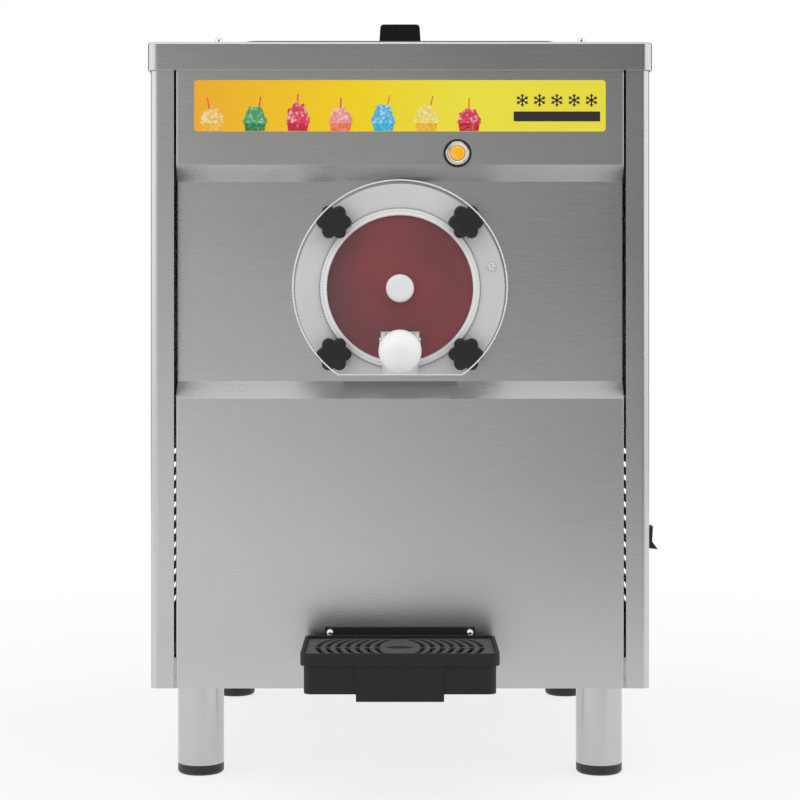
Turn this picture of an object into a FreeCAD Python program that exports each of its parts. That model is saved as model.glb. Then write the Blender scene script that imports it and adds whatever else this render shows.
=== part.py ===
"""Counter-top frozen drink and soft ice maker, built as separate pieces. Millimetres, +Z up, front towards -Y."""
import FreeCAD
import Part
import Sketcher
import math
import os

Vector = FreeCAD.Vector
doc = FreeCAD.newDocument("ice_cream_maker")
sheet = doc.addObject("Spreadsheet::Sheet", "Sizes")
NODES = []
CUTS = []


class Size:
    """A length that knows its value and the sheet expression it comes from."""

    def __init__(self, value, text):
        self.value = float(value)
        self.text = text

    def __add__(self, other):
        other = as_size(other)
        return Size(self.value + other.value, f"({self.text} + {other.text})")

    def __radd__(self, other):
        return as_size(other) + self

    def __sub__(self, other):
        other = as_size(other)
        return Size(self.value - other.value, f"({self.text} - {other.text})")

    def __rsub__(self, other):
        return as_size(other) - self

    def __mul__(self, other):
        other = as_size(other)
        return Size(self.value * other.value, f"({self.text} * {other.text})")

    __rmul__ = __mul__

    def __truediv__(self, other):
        other = as_size(other)
        return Size(self.value / other.value, f"({self.text} / {other.text})")

    def __neg__(self):
        return Size(-self.value, f"(-1 * {self.text})")

    def root(self):
        """The square root, as a size."""
        return Size(math.sqrt(self.value), f"sqrt({self.text})")

    def cosine(self):
        """The cosine of an angle in degrees."""
        return Size(math.cos(math.radians(self.value)), f"cos({self.text})")

    def sine(self):
        """The sine of an angle in degrees."""
        return Size(math.sin(math.radians(self.value)), f"sin({self.text})")


def as_size(number):
    """A plain number as a size, so that both mix freely."""
    return number if isinstance(number, Size) else Size(number, repr(float(number)))


def driving(**values):
    """Write the driving sizes to the sheet, one row and one alias each, and give them back by name."""
    sizes = {}
    for row, (name, value) in enumerate(values.items(), start=1):
        sheet.set(f"A{row}", name.replace("_", " "))
        sheet.set(f"B{row}", str(value))
        sheet.setAlias(f"B{row}", name)
        sizes[name] = Size(value, f"Sizes.{name}")
    doc.recompute()
    return sizes


class Named:
    """The driving sizes as attributes."""

    def __init__(self, sizes):
        self.__dict__.update(sizes)


s = Named(driving(
    # cabinet
    cabinet_wide=440, cabinet_deep=510, cabinet_base=82, cabinet_top=651, cover_skirt=25, cover_lap=2.5,
    skin=1.5, pan_skin=2, pan_wall=25, corner_round=7, front_return=21, panel_gap=1.8, header_land=17,
    ledge_rise=14, recess_deep=15, recess_land=6.8, lower_ledge=15, flange_back=45,
    frame_wide=15, frame_bar=20, vent_long=90, vent_high=5, vent_pitch=13,
    leg_inset=42, leg_spacing=400, leg_apart=358, leg_round=20.65, leg_wall=1.5, foot_high=9, foot_plug=16,
    # barrel and faceplate, heights from the barrel axis
    barrel_high=434, barrel_bore=64.2, barrel_wall=2.3, barrel_long=318, flange_inset=1, flange_thick=4,
    barrel_end=5, hub_round=22, hub_long=14, seal_round=14, shaft_round=8, running=0.05,
    plate_rim=27.8, flat_land=11, plate_thick=15, window_lap=0.3, window_thick=5, window_ledge=2.5,
    rim_wide=5.6, rim_proud=2.5, stud_land=17.4, stud_round=4, washer_round=8, washer_thick=3, loose=0.3,
    knob_thick=16, knob_hub=11.5, lobe_round=4.7, lobe_reach=10.7, stud_grip=11,
    cap_round=12.3, cap_proud=10, cap_stem=7.5, nose_round=4, pin_head=3.6, pin_round=2.5,
    pin_inset=11.2, pin_up=19.1, seal_land=6.8, seal_cord=2.6,
    # valve and lever
    boss_wall=5, valve_bore=11, valve_gap=0.95, piston_land=7.2, piston_high=15, neck_high=11,
    neck_round=4, collar_high=4, port_round=4.5, port_land=1.2, ear_thick=3, lever_arm=36, prong_up=7,
    hinge_pin=2.5, prong_thick=4, prong_wide=4, ball_round=18, ball_out=98, ball_fall=8, rod_round=4,
    oring_cord=1.2, spring_wire=0.5,
    # hopper and lid
    hopper_wide=270, hopper_front=112, hopper_long=276, foam_gap=4, hopper_skin=1.2, hopper_rim=8,
    gasket_thick=1.8, neck_back=150, outlet_round=12, tube_round=9, tube_top=625,
    lid_wide=298, lid_long=304, lid_high=15, lid_wall=3, lid_round=14,
    grip_wide=43.3, grip_deep=18, grip_high=35, grip_taper=1.9,
    # label, indicator and switch
    label_wide=362, label_high=45.3, label_rise=29, label_thick=1, label_round=3, indicator_across=50.6,
    indicator_rise=10, bezel_round=10.3, bezel_proud=3, lens_round=6.6, switch_back=42, switch_high=209,
    switch_deep=24, switch_tall=31, rocker_reach=15, rocker_half=45, rocker_tilt=12,
    # drip tray
    tray_reach=119, tray_wide=165, tray_top=131.2, tray_band=10.5, tray_low=97, tray_back=14.5, tray_wall=3,
    tray_tuck=2.8, grip_half=36.4, tongue_low=91, grille_drop=2.7, grille_thick=2.5, slot_arc=90,
    slot_wide=4.3, slot_pitch=8.3, slot_first=19.8, slot_reach=44, cross_bar=3, eye_half=13, eye_reach=8,
    bracket_half=65.7, bracket_top=136.4, bracket_thick=5, screw_head=3, screw_round=2,
    # cooling and drive
    coil_tube=4, coil_pitch=38, foam_thick=19, motor_gap=28, gearbox_deep=60, gearbox_half=45,
    motor_round=40, motor_long=58, can_round=76, can_high=195, gland_reach=14, gland_bore=5, gland_round=14,
    fan_high=205, fan_round=92, condenser_deep=240, condenser_high=230, condenser_thick=40))

s.plate_round = s.barrel_bore + s.plate_rim
s.plate_flat = s.barrel_bore + s.flat_land
s.window_round = s.barrel_bore + s.window_lap
s.flange_round = s.plate_round - s.flange_inset
s.stud_reach = (s.barrel_bore + s.stud_land) / as_size(2).root()
s.seal_reach = s.barrel_bore + s.seal_land
s.foam_bore = s.barrel_bore + s.barrel_wall + s.coil_tube * 2 + s.skin
s.foam_round = s.foam_bore + s.foam_thick
s.shelf_top = s.barrel_high - s.foam_round
s.hopper_low = s.barrel_high + s.foam_round + s.foam_gap
s.header_low = s.barrel_high + s.plate_round + s.header_land
s.recess_low = s.barrel_high - s.plate_flat - s.recess_land
s.label_low = s.header_low + s.label_rise
s.indicator_high = s.header_low + s.indicator_rise
s.pin_across = s.plate_round - s.pin_inset
s.boss_round = s.valve_bore + s.boss_wall
s.piston_low = s.plate_flat - s.piston_land
s.port_low = s.barrel_bore - s.port_round - s.port_land
s.boss_top = s.piston_low - s.piston_high - s.neck_high - s.pan_skin
s.pivot_low = s.piston_low - s.piston_high - s.prong_up
s.ball_low = s.pivot_low + s.ball_fall

CABINET_HALF = s.cabinet_wide / 2
FRONT = (s.tray_reach - s.cabinet_deep - s.gland_reach) / 2
REAR = FRONT + s.cabinet_deep
RECESS = FRONT + s.recess_deep
SEAT = RECESS - s.flange_thick
PLATE_FRONT = SEAT - s.plate_thick
BARREL_END = SEAT + s.barrel_long
VALVE = PLATE_FRONT - s.valve_bore - s.running - s.valve_gap
PANEL_HALF = CABINET_HALF - s.front_return - s.panel_gap
HOPPER_FRONT = FRONT + s.hopper_front
HOPPER_BACK = HOPPER_FRONT + s.hopper_long
NECK = FRONT + s.neck_back
GEARBOX = BARREL_END + s.hub_long + s.motor_gap
UNDER_COVER = s.cabinet_top - s.skin
FRAME_FRONT = FRONT + s.skin + s.corner_round
FRAME_BACK = REAR - s.skin - s.corner_round
PAN_TOP = s.cabinet_base + s.pan_skin


# ---------------------------------------------------------------- outlines and features

def rectangle(left, right, low, high, radius=None):
    """Corners of a rectangle, anticlockwise, with round corners where a radius is given."""
    if radius is None:
        return [(left, low), (right, low), (right, high), (left, high)]
    return [(left + radius, low), (right - radius, low, radius), (right, low + radius),
            (right, high - radius, radius), (right - radius, high), (left + radius, high, radius),
            (left, high - radius), (left, low + radius, radius)]


def circle(across, up, radius):
    """A circle outline."""
    return ("circle", as_size(across), as_size(up), as_size(radius))


def arc_between(first, last, radius):
    """The short arc from first to last: its centre is left of the way for a positive radius."""
    chord = last - first
    middle = (first + last) / 2
    rise = math.sqrt(max(radius * radius - chord.Length ** 2 / 4, 0))
    left = Vector(-chord.y, chord.x, 0).normalize()
    centre = middle + left * (rise if radius > 0 else -rise)
    start, end = (first, last) if radius > 0 else (last, first)
    angles = [math.atan2(point.y - centre.y, point.x - centre.x) for point in (start, end)]
    return Part.ArcOfCircle(Part.Circle(centre, Vector(0, 0, 1), abs(radius)), *angles)


def bind(sketch, kind, *where):
    """Add one constraint whose last argument is a size, and bind it to the sheet."""
    *places, size = where
    number = sketch.addConstraint(Sketcher.Constraint(kind, *places, size.value))
    sketch.setExpression(f"Constraints[{number}]", size.text)


def draw(sketch, outline):
    """Draw one closed outline, fully constrained: a circle, or corners with an arc after those with a radius."""
    if outline[0] == "circle":
        across, up, radius = outline[1:]
        centre = Vector(across.value, up.value, 0)
        edge = sketch.addGeometry(Part.Circle(centre, Vector(0, 0, 1), radius.value), False)
        bind(sketch, "DistanceX", -1, 1, edge, 3, across)
        bind(sketch, "DistanceY", -1, 1, edge, 3, up)
        bind(sketch, "Radius", edge, radius)
        return
    corners = [(as_size(corner[0]), as_size(corner[1])) for corner in outline]
    points = [Vector(across.value, up.value, 0) for across, up in corners]
    ends = []
    for number, corner in enumerate(outline):
        first, last = points[number], points[(number + 1) % len(points)]
        if len(corner) == 3:
            radius = as_size(corner[2])
            edge = sketch.addGeometry(arc_between(first, last, radius.value), False)
            ends.append((edge, 1, 2) if radius.value > 0 else (edge, 2, 1))
            bind(sketch, "Radius", edge, radius if radius.value > 0 else -radius)
        else:
            edge = sketch.addGeometry(Part.LineSegment(first, last), False)
            ends.append((edge, 1, 2))
    for number, (edge, start, end) in enumerate(ends):
        following, its_start, _ = ends[(number + 1) % len(ends)]
        sketch.addConstraint(Sketcher.Constraint("Coincident", edge, end, following, its_start))
        across, up = corners[number]
        bind(sketch, "DistanceX", -1, 1, edge, start, across)
        bind(sketch, "DistanceY", -1, 1, edge, start, up)


def keep(obj, name):
    """Name an object as a sub-part to be written."""
    obj.Label = name
    NODES.append(obj)
    return obj


class Piece:
    """A PartDesign body that grows by pads, cuts and turned features."""

    def __init__(self, name, sub_part=True):
        self.body = doc.addObject("PartDesign::Body", name + "_body")
        self.tip = None
        if sub_part:
            keep(self.body, name)

    def origin(self, role):
        """One of the body's own planes or axes."""
        return next(item for item in self.body.Origin.OriginFeatures if item.Role == role)

    def sketch(self, plane, offset, outlines):
        """A sketch on an origin plane, moved along the plane's normal."""
        sketch = self.body.newObject("Sketcher::SketchObject", self.body.Name + "_sketch")
        sketch.AttachmentSupport = (self.origin(plane + "_Plane"), [""])
        sketch.MapMode = "FlatFace"
        sketch.setExpression("AttachmentOffset.Base.z", as_size(offset).text)
        for outline in outlines:
            draw(sketch, outline)
        return sketch

    def feature(self, kind, sketch):
        """A sketch-based feature."""
        made = self.body.newObject("PartDesign::" + kind, self.body.Name + "_" + kind.lower())
        made.Profile = sketch
        self.tip = made
        return made

    def pad(self, plane, start, end, *outlines):
        """Material between two places along the plane's axis."""
        offset = -as_size(end) if plane == "XZ" else start
        made = self.feature("Pad", self.sketch(plane, offset, outlines))
        made.setExpression("Length", (as_size(end) - start).text)
        return self

    def cut(self, plane, start, end, *outlines):
        """A cut between two places along the plane's axis."""
        before = self.tip
        offset = -as_size(start) if plane == "XZ" else end
        made = self.feature("Pocket", self.sketch(plane, offset, outlines))
        made.setExpression("Length", (as_size(end) - start).text)
        CUTS.append((before, made))
        return self

    def turn(self, axis, outline):
        """Material turned about one of the body's axes, from (place along it, radius) corners."""
        plane = {"X": "XY", "Y": "YZ", "Z": "XZ"}[axis]
        if axis == "Z":
            outline = [(corner[1], corner[0], *corner[2:]) for corner in outline]
        made = self.feature("Revolution", self.sketch(plane, 0, [outline]))
        made.ReferenceAxis = (self.origin(axis + "_Axis"), [""])
        made.Angle = 360
        return self

    def row(self, axis, pitch, count):
        """The last feature repeated along an axis."""
        source = self.tip
        made = self.body.newObject("PartDesign::LinearPattern", self.body.Name + "_row")
        made.Originals = [source]
        made.Direction = (self.origin(axis + "_Axis"), [""])
        made.setExpression("Length", (as_size(pitch) * (count - 1)).text)
        made.Occurrences = count
        self.body.Tip = made
        self.tip = made
        return self

    def ring(self, axis, count):
        """The last feature repeated around an axis."""
        source = self.tip
        made = self.body.newObject("PartDesign::PolarPattern", self.body.Name + "_ring")
        made.Originals = [source]
        made.Axis = (self.origin(axis + "_Axis"), [""])
        made.Angle = 360
        made.Occurrences = count
        self.body.Tip = made
        self.tip = made
        return self

    def soften(self, radius, chosen):
        """Round the edges that a test picks."""
        doc.recompute()
        edges = [f"Edge{number}" for number, edge in enumerate(self.tip.Shape.Edges, start=1) if chosen(edge)]
        made = self.body.newObject("PartDesign::Fillet", self.body.Name + "_fillet")
        made.Base = (self.tip, edges)
        made.setExpression("Radius", as_size(radius).text)
        self.tip = made
        return self

    def place(self, across=0, along=0, up=0):
        """Move the body, bound to the sheet."""
        put(self.body, across, along, up)
        return self


def put(obj, across, along, up):
    """Bind an object's place to the sheet."""
    for axis, size in zip("xyz", (across, along, up)):
        obj.setExpression(f"Placement.Base.{axis}", as_size(size).text)
    return obj


def block(left, right, near, far, low, high):
    """A Part box between three pairs of places."""
    made = doc.addObject("Part::Box", "block")
    put(made, left, near, low)
    for side, first, last in (("Length", left, right), ("Width", near, far), ("Height", low, high)):
        made.setExpression(side, (as_size(last) - first).text)
    return made


TURNS = {"X": FreeCAD.Rotation(Vector(0, 1, 0), 90), "Y": FreeCAD.Rotation(Vector(1, 0, 0), -90),
         "Z": FreeCAD.Rotation()}


def rod(axis, start, end, radius, across=0, along=0, up=0):
    """A Part cylinder along an axis, between two places on it."""
    made = doc.addObject("Part::Cylinder", "rod")
    made.Placement = FreeCAD.Placement(Vector(), TURNS[axis])
    base = {"X": (start, along, up), "Y": (across, start, up), "Z": (across, along, start)}[axis]
    put(made, *base)
    made.setExpression("Radius", as_size(radius).text)
    made.setExpression("Height", (as_size(end) - start).text)
    return made


def hoop(axis, reach, cord, across=0, along=0, up=0):
    """A Part torus around an axis."""
    made = doc.addObject("Part::Torus", "hoop")
    made.Placement = FreeCAD.Placement(Vector(), TURNS[axis])
    put(made, across, along, up)
    made.setExpression("Radius1", as_size(reach).text)
    made.setExpression("Radius2", as_size(cord).text)
    return made


def ball(radius, across, along, up):
    """A Part sphere."""
    made = doc.addObject("Part::Sphere", "ball")
    put(made, across, along, up)
    made.setExpression("Radius", as_size(radius).text)
    return made


def fuse(*parts):
    """Parts joined into one."""
    if len(parts) == 1:
        return parts[0]
    made = doc.addObject("Part::MultiFuse", "joined")
    made.Shapes = list(parts)
    return made


def cut(base, *tools):
    """A part with others taken out of it."""
    made = doc.addObject("Part::Cut", "hollowed")
    made.Base = base
    made.Tool = tools[0] if len(tools) == 1 else fuse(*tools)
    return made


def group(name, parts):
    """Separate equal solids kept as one sub-part."""
    made = doc.addObject("Part::Compound", name + "_group")
    made.Links = list(parts)
    return keep(made, name)


# ---------------------------------------------------------------- cabinet

def make_base_pan():
    """The folded floor of the cabinet, with the leg stud holes."""
    half = CABINET_HALF - s.skin
    near, far = FRONT + s.skin, REAR - s.skin
    piece = Piece("base_pan")
    piece.pad("XY", s.cabinet_base, PAN_TOP + s.pan_wall, rectangle(-half, half, near, far, s.corner_round))
    inset = s.pan_skin
    piece.cut("XY", PAN_TOP, PAN_TOP + s.pan_wall,
              rectangle(inset - half, half - inset, near + inset, far - inset, s.corner_round - inset))


def make_side_frames():
    """Two welded frames that carry the panels, the shelf and the cover."""
    frames = []
    inner = CABINET_HALF - s.skin - s.frame_wide
    near, far = FRAME_FRONT, FRAME_BACK
    rail_top = s.shelf_top - s.pan_skin
    for side in (-1, 1):
        low, high = PAN_TOP, UNDER_COVER
        left = inner if side > 0 else -(inner + s.frame_wide - s.pan_skin)
        right = left + s.frame_wide - s.pan_skin
        bare = block(left, right, near, far, low, high)
        lower = block(left - 1, right + 1, near + s.frame_bar, far - s.frame_bar,
                      low + s.frame_bar, rail_top - s.frame_bar)
        upper = block(left - 1, right + 1, near + s.frame_bar, far - s.frame_bar, rail_top, high - s.frame_bar)
        frames.append(cut(bare, lower, upper))
    group("side_frames", frames)


def panel_profile(shift):
    """The front panel's folded line, from its top to its foot, moved back by a shift."""
    line = [(FRONT, UNDER_COVER), (FRONT, s.header_low), (RECESS, s.header_low - s.ledge_rise),
            (RECESS, s.recess_low), (FRONT, s.recess_low - s.lower_ledge), (FRONT, s.cabinet_base)]
    return [(along + shift, up) for along, up in line]


def make_front_panel():
    """The folded front: header, recess and lower panel in one sheet, with closed sides and a top flange."""
    piece = Piece("front_panel")
    sheet_line = panel_profile(0) + panel_profile(s.skin)[::-1]
    piece.pad("YZ", -PANEL_HALF, PANEL_HALF, sheet_line)
    back = RECESS + s.corner_round
    side_line = panel_profile(0) + [(back, s.cabinet_base + s.pan_wall * 2), (back, UNDER_COVER)]
    side_line = side_line[:5] + [(FRONT, s.cabinet_base + s.pan_wall * 2)] + side_line[6:]
    piece.pad("YZ", -PANEL_HALF, s.skin - PANEL_HALF, side_line)
    piece.pad("YZ", PANEL_HALF - s.skin, PANEL_HALF, side_line)
    piece.pad("XY", UNDER_COVER - s.skin, UNDER_COVER,
              rectangle(-PANEL_HALF, PANEL_HALF, FRONT, FRONT + s.flange_back))
    hole = s.barrel_bore + s.barrel_wall + s.loose * 2
    piece.cut("XZ", FRONT, RECESS + s.frame_bar, circle(0, s.barrel_high, hole))
    piece.cut("XZ", FRONT - 1, FRONT + s.skin + 1,
              circle(s.indicator_across, s.indicator_high, s.lens_round + s.skin + s.running))
    for side in (-1, 1):
        screw = circle(side * screw_across(), FRONT + s.frame_bar * 1.5, s.screw_round)
        piece.cut("XY", UNDER_COVER - s.skin - 1, UNDER_COVER, screw)
    piece.cut("XZ", FRONT - 1, FRONT + s.skin + 1, *bracket_holes())


def screw_across():
    """How far the cover screws stand from the middle."""
    return s.hopper_wide * 0.6


def bracket_holes():
    """The two screw holes of the tray bracket."""
    reach = s.bracket_half - s.screw_head - s.skin
    up = s.bracket_top - s.screw_head - s.loose * 2
    return [circle(side * reach, up, s.screw_round) for side in (-1, 1)]


def make_side_panel(name, side):
    """A side panel that turns round the front and rear corners, with vent slots and, on the right, a switch hole."""
    piece = Piece(name)
    outer = rectangle(-CABINET_HALF, CABINET_HALF, FRONT, REAR, s.corner_round)
    inner = rectangle(s.skin - CABINET_HALF, CABINET_HALF - s.skin, FRONT + s.skin, REAR - s.skin,
                      s.corner_round - s.skin)
    piece.pad("XY", s.cabinet_base, UNDER_COVER, outer, inner)
    edge = CABINET_HALF - s.front_return
    left, right = (-CABINET_HALF - 1, edge) if side > 0 else (-edge, CABINET_HALF + 1)
    piece.cut("XY", s.cabinet_base - 1, UNDER_COVER + 1, rectangle(left, right, FRONT - 1, REAR + 1))
    first, last = (CABINET_HALF - s.skin - 1, CABINET_HALF + 1) if side > 0 else (-CABINET_HALF - 1,
                                                                                 s.skin + 1 - CABINET_HALF)
    if side > 0:
        half_deep, half_tall = switch_window()
        piece.cut("YZ", first, last, rectangle(FRONT + s.switch_back - half_deep, FRONT + s.switch_back + half_deep,
                                               s.switch_high - half_tall, s.switch_high + half_tall))
    middle = FRONT + s.cabinet_deep / 2
    low = s.cabinet_base + s.vent_pitch * 4
    for column in (-1, 1):
        centre = middle + column * s.vent_long * 0.6
        piece.cut("YZ", first, last, rectangle(centre - s.vent_long / 2, centre + s.vent_long / 2, low,
                                               low + s.vent_high, s.vent_high * 0.48))
        piece.row("Z", s.vent_pitch, 12)


def make_rear_panel():
    """The rear panel with its vents, the gland hole and a top flange."""
    piece = Piece("rear_panel")
    piece.pad("XZ", REAR - s.skin, REAR, rectangle(-PANEL_HALF, PANEL_HALF, s.cabinet_base, UNDER_COVER))
    piece.pad("XY", UNDER_COVER - s.skin, UNDER_COVER,
              rectangle(-PANEL_HALF, PANEL_HALF, REAR - s.flange_back, REAR))
    piece.cut("XZ", REAR - s.skin - 1, REAR + 1, circle(*gland_place(), gland_neck() + s.running))
    for side in (-1, 1):
        screw = circle(side * screw_across(), REAR - s.frame_bar * 1.5, s.screw_round)
        piece.cut("XY", UNDER_COVER - s.skin - 1, UNDER_COVER, screw)
    low = s.cabinet_base + s.vent_pitch * 4
    for column in (-1, 1):
        centre = column * s.vent_long * 0.6
        piece.cut("XZ", REAR - s.skin - 1, REAR + 1,
                  rectangle(centre - s.vent_long / 2, centre + s.vent_long / 2, low, low + s.vent_high,
                            s.vent_high * 0.48))
        piece.row("Z", s.vent_pitch, 24)


def make_top_cover():
    """The flanged cover with the hopper opening."""
    piece = Piece("top_cover")
    half = CABINET_HALF + s.cover_lap
    near, far = FRONT - s.cover_lap, REAR + s.cover_lap
    piece.pad("XY", s.cabinet_top - s.cover_skirt, s.cabinet_top,
              rectangle(-half, half, near, far, s.corner_round + s.cover_lap))
    piece.soften(s.cover_lap, lambda edge: edge.BoundBox.ZMin > s.cabinet_top.value - 0.01)
    piece.cut("XY", s.cabinet_top - s.cover_skirt - 1, UNDER_COVER,
              rectangle(s.skin - half, half - s.skin, near + s.skin, far - s.skin,
                        s.corner_round + s.cover_lap - s.skin))
    opening = s.hopper_wide / 2 + s.hopper_skin + s.loose
    piece.cut("XY", UNDER_COVER - 1, s.cabinet_top + 1,
              rectangle(-opening, opening, HOPPER_FRONT - s.hopper_skin - s.loose,
                        HOPPER_BACK + s.hopper_skin + s.loose, s.lid_round))
    screws = [circle(side * screw_across(), along, s.screw_round)
              for side in (-1, 1) for along in (FRONT + s.frame_bar * 1.5, REAR - s.frame_bar * 1.5)]
    piece.cut("XY", UNDER_COVER - 1, s.cabinet_top + 1, *screws)


def dome_screw():
    """A screw with a domed head, pointing down, its seat at the body's origin."""
    piece = Piece("dome_screw", sub_part=False)
    top = s.screw_head * 2.8
    piece.turn("Z", [(-s.skin * 4, 0), (-s.skin * 4, s.screw_round), (0, s.screw_round), (0, s.screw_head),
                     (top - s.screw_head, s.screw_head, s.screw_head), (top, 0)])
    return piece


def make_dome_screws():
    """Four cover screws and two tray bracket screws, all alike."""
    screws = []
    for side in (-1, 1):
        for along in (FRONT + s.frame_bar * 1.5, REAR - s.frame_bar * 1.5):
            screws.append(dome_screw().place(side * screw_across(), along, s.cabinet_top).body)
    for hole in bracket_holes():
        screw = dome_screw().body
        screw.Placement = FreeCAD.Placement(Vector(), FreeCAD.Rotation(Vector(1, 0, 0), 90))
        put(screw, hole[1], FRONT - s.bracket_thick, hole[2])
        screws.append(screw)
    group("dome_screws", screws)


def leg_places():
    """The four leg centres."""
    return [(side * s.leg_apart / 2, FRONT + s.leg_inset + along)
            for side in (-1, 1) for along in (as_size(0), s.leg_spacing)]


def make_legs_and_feet():
    """Tubular legs closed at the top, with rubber feet plugged into them."""
    legs, feet = [], []
    inner = s.leg_round - s.leg_wall
    for across, along in leg_places():
        leg = Piece("leg", sub_part=False)
        leg.turn("Z", [(s.foot_high, inner), (s.foot_high, s.leg_round), (s.cabinet_base, s.leg_round),
                       (s.cabinet_base, 0), (s.cabinet_base - s.leg_wall * 2, 0),
                       (s.cabinet_base - s.leg_wall * 2, inner)])
        legs.append(leg.place(across, along).body)
        foot = Piece("foot", sub_part=False)
        foot.turn("Z", [(0, 0), (0, s.leg_round - s.pan_skin), (s.pan_skin, s.leg_round),
                        (s.foot_high, s.leg_round), (s.foot_high, inner - s.running),
                        (s.foot_high + s.foot_plug, inner - s.running), (s.foot_high + s.foot_plug, 0)])
        feet.append(foot.place(across, along).body)
    group("legs", legs)
    group("feet", feet)


def make_component_shelf():
    """The shelf between the lower machinery and the barrel, lying on the frames' rails."""
    half = CABINET_HALF - s.skin - s.pan_skin
    near = FRAME_FRONT + s.frame_bar + 1
    far = FRAME_BACK - s.frame_bar - 1
    holes = [rod("Z", s.shelf_top - s.pan_skin - 1, s.shelf_top + 1, s.coil_tube * 2, across, along)
             for across, along in (drier_place(), suction_place())]
    keep(cut(block(-half, half, near, far, s.shelf_top - s.pan_skin, s.shelf_top), *holes), "component_shelf")


def make_label_plate():
    """The bare label plate on the header."""
    half = s.label_wide / 2
    Piece("label_plate").pad("XZ", FRONT - s.label_thick, FRONT,
                             rectangle(-half, half, s.label_low, s.label_low + s.label_high, s.label_round))


# ---------------------------------------------------------------- hopper and lid

def make_hopper():
    """The tub with its rim and the outlet neck that reaches the barrel."""
    piece = Piece("hopper")
    half = s.hopper_wide / 2
    skin = s.hopper_skin
    rim_low = s.cabinet_top + s.gasket_thick
    round_in = s.lid_round - s.loose - skin
    piece.pad("XY", s.hopper_low - skin, rim_low + skin,
              rectangle(-half - skin, half + skin, HOPPER_FRONT - skin, HOPPER_BACK + skin, s.lid_round - s.loose))
    rim = s.hopper_rim
    piece.pad("XY", rim_low, rim_low + skin,
              rectangle(-half - rim, half + rim, HOPPER_FRONT - rim, HOPPER_BACK + rim, s.lid_round))
    piece.pad("XY", s.barrel_high + s.barrel_bore + s.loose, s.hopper_low, circle(0, NECK, s.outlet_round))
    piece.cut("XY", s.hopper_low, rim_low + skin + 1,
              rectangle(-half, half, HOPPER_FRONT, HOPPER_BACK, round_in))
    piece.cut("XY", s.barrel_high + s.barrel_bore - 1, s.hopper_low + 1,
              circle(0, NECK, s.outlet_round - skin))


def make_hopper_gasket():
    """The flat gasket between the hopper's rim and the cover."""
    half = s.hopper_wide / 2 + s.hopper_skin + s.loose * 2
    outer = s.hopper_wide / 2 + s.hopper_rim
    lap = s.hopper_skin + s.loose * 2
    Piece("hopper_gasket").pad(
        "XY", s.cabinet_top, s.cabinet_top + s.gasket_thick,
        rectangle(-outer, outer, HOPPER_FRONT - s.hopper_rim, HOPPER_BACK + s.hopper_rim, s.lid_round),
        rectangle(-half, half, HOPPER_FRONT - lap, HOPPER_BACK + lap, s.lid_round))


def make_lid():
    """The lid that covers the hopper's rim, and its pinch grip."""
    middle = HOPPER_FRONT + s.hopper_long / 2
    half, deep = s.lid_wide / 2, s.lid_long / 2
    wall = s.lid_wall
    piece = Piece("hopper_lid")
    piece.pad("XY", s.cabinet_top, s.cabinet_top + s.lid_high,
              rectangle(-half, half, middle - deep, middle + deep, s.lid_round))
    piece.soften(s.lid_high / 2, lambda edge: edge.BoundBox.ZMin > (s.cabinet_top + s.lid_high).value - 0.01)
    piece.cut("XY", s.cabinet_top - 1, s.cabinet_top + s.lid_high - wall,
              rectangle(wall - half, half - wall, middle - deep + wall, middle + deep - wall, s.lid_round - wall))
    grip = Piece("lid_handle")
    low = s.cabinet_top + s.lid_high
    wide, narrow = s.grip_wide / 2, s.grip_wide / 2 - s.grip_taper
    soft = s.grip_taper * 2
    high = low + s.grip_high
    grip.pad("XZ", middle - s.grip_deep / 2, middle + s.grip_deep / 2,
             [(-wide, low), (wide, low), (narrow, high - soft, soft), (narrow - soft, high),
              (soft - narrow, high, soft), (-narrow, high - soft)])


def make_feed_tube():
    """The lift-out tube that feeds mix and air from the hopper to the barrel."""
    outer = s.outlet_round - s.hopper_skin - s.loose
    low = s.barrel_high + s.barrel_bore + s.loose * 2
    tube = cut(rod("Z", low, s.tube_top, s.tube_round, 0, NECK),
               rod("Z", low - 1, s.tube_top + 1, s.tube_round - s.skin, 0, NECK),
               rod("X", 0, s.tube_round + 1, s.tube_round / 3, 0, NECK, s.hopper_low + s.tube_round))
    collar = cut(rod("Z", s.hopper_low + s.running, s.hopper_low + s.skin * 2, outer + s.skin * 2, 0, NECK),
                 rod("Z", s.hopper_low - 1, s.hopper_low + s.skin * 3, s.tube_round - s.skin / 2, 0, NECK))
    keep(fuse(tube, collar), "feed_tube")


# ---------------------------------------------------------------- barrel and drive

def make_barrel():
    """The freezing barrel with its front flange, closed rear end and shaft hub."""
    piece = Piece("barrel").place(0, 0, s.barrel_high)
    outer = s.barrel_bore + s.barrel_wall
    shaft = s.shaft_round + s.running
    hub = BARREL_END + s.hub_long
    piece.turn("Y", [(SEAT, s.barrel_bore), (SEAT, s.flange_round), (RECESS, s.flange_round), (RECESS, outer),
                     (BARREL_END, outer), (BARREL_END, s.hub_round), (hub, s.hub_round), (hub, s.seal_round),
                     (BARREL_END + s.skin, s.seal_round), (BARREL_END + s.skin, shaft),
                     (BARREL_END - s.barrel_end, shaft), (BARREL_END - s.barrel_end, s.barrel_bore)])
    piece.cut("XZ", SEAT - 1, RECESS + 1,
              rectangle(-s.flange_round, s.flange_round, -s.flange_round - 1, -s.plate_flat))
    piece.cut("XY", s.barrel_bore / 2, outer + 1, circle(0, NECK, s.outlet_round + s.running))
    piece.cut("XZ", SEAT - 1, RECESS + 1, circle(s.pin_across, s.pin_up, s.pin_round + s.loose))


def coil_rings():
    """How far from the neck each ring of the coil lies."""
    return [(number + 0.5) * s.coil_pitch for number in range(-3, 4)]


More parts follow.
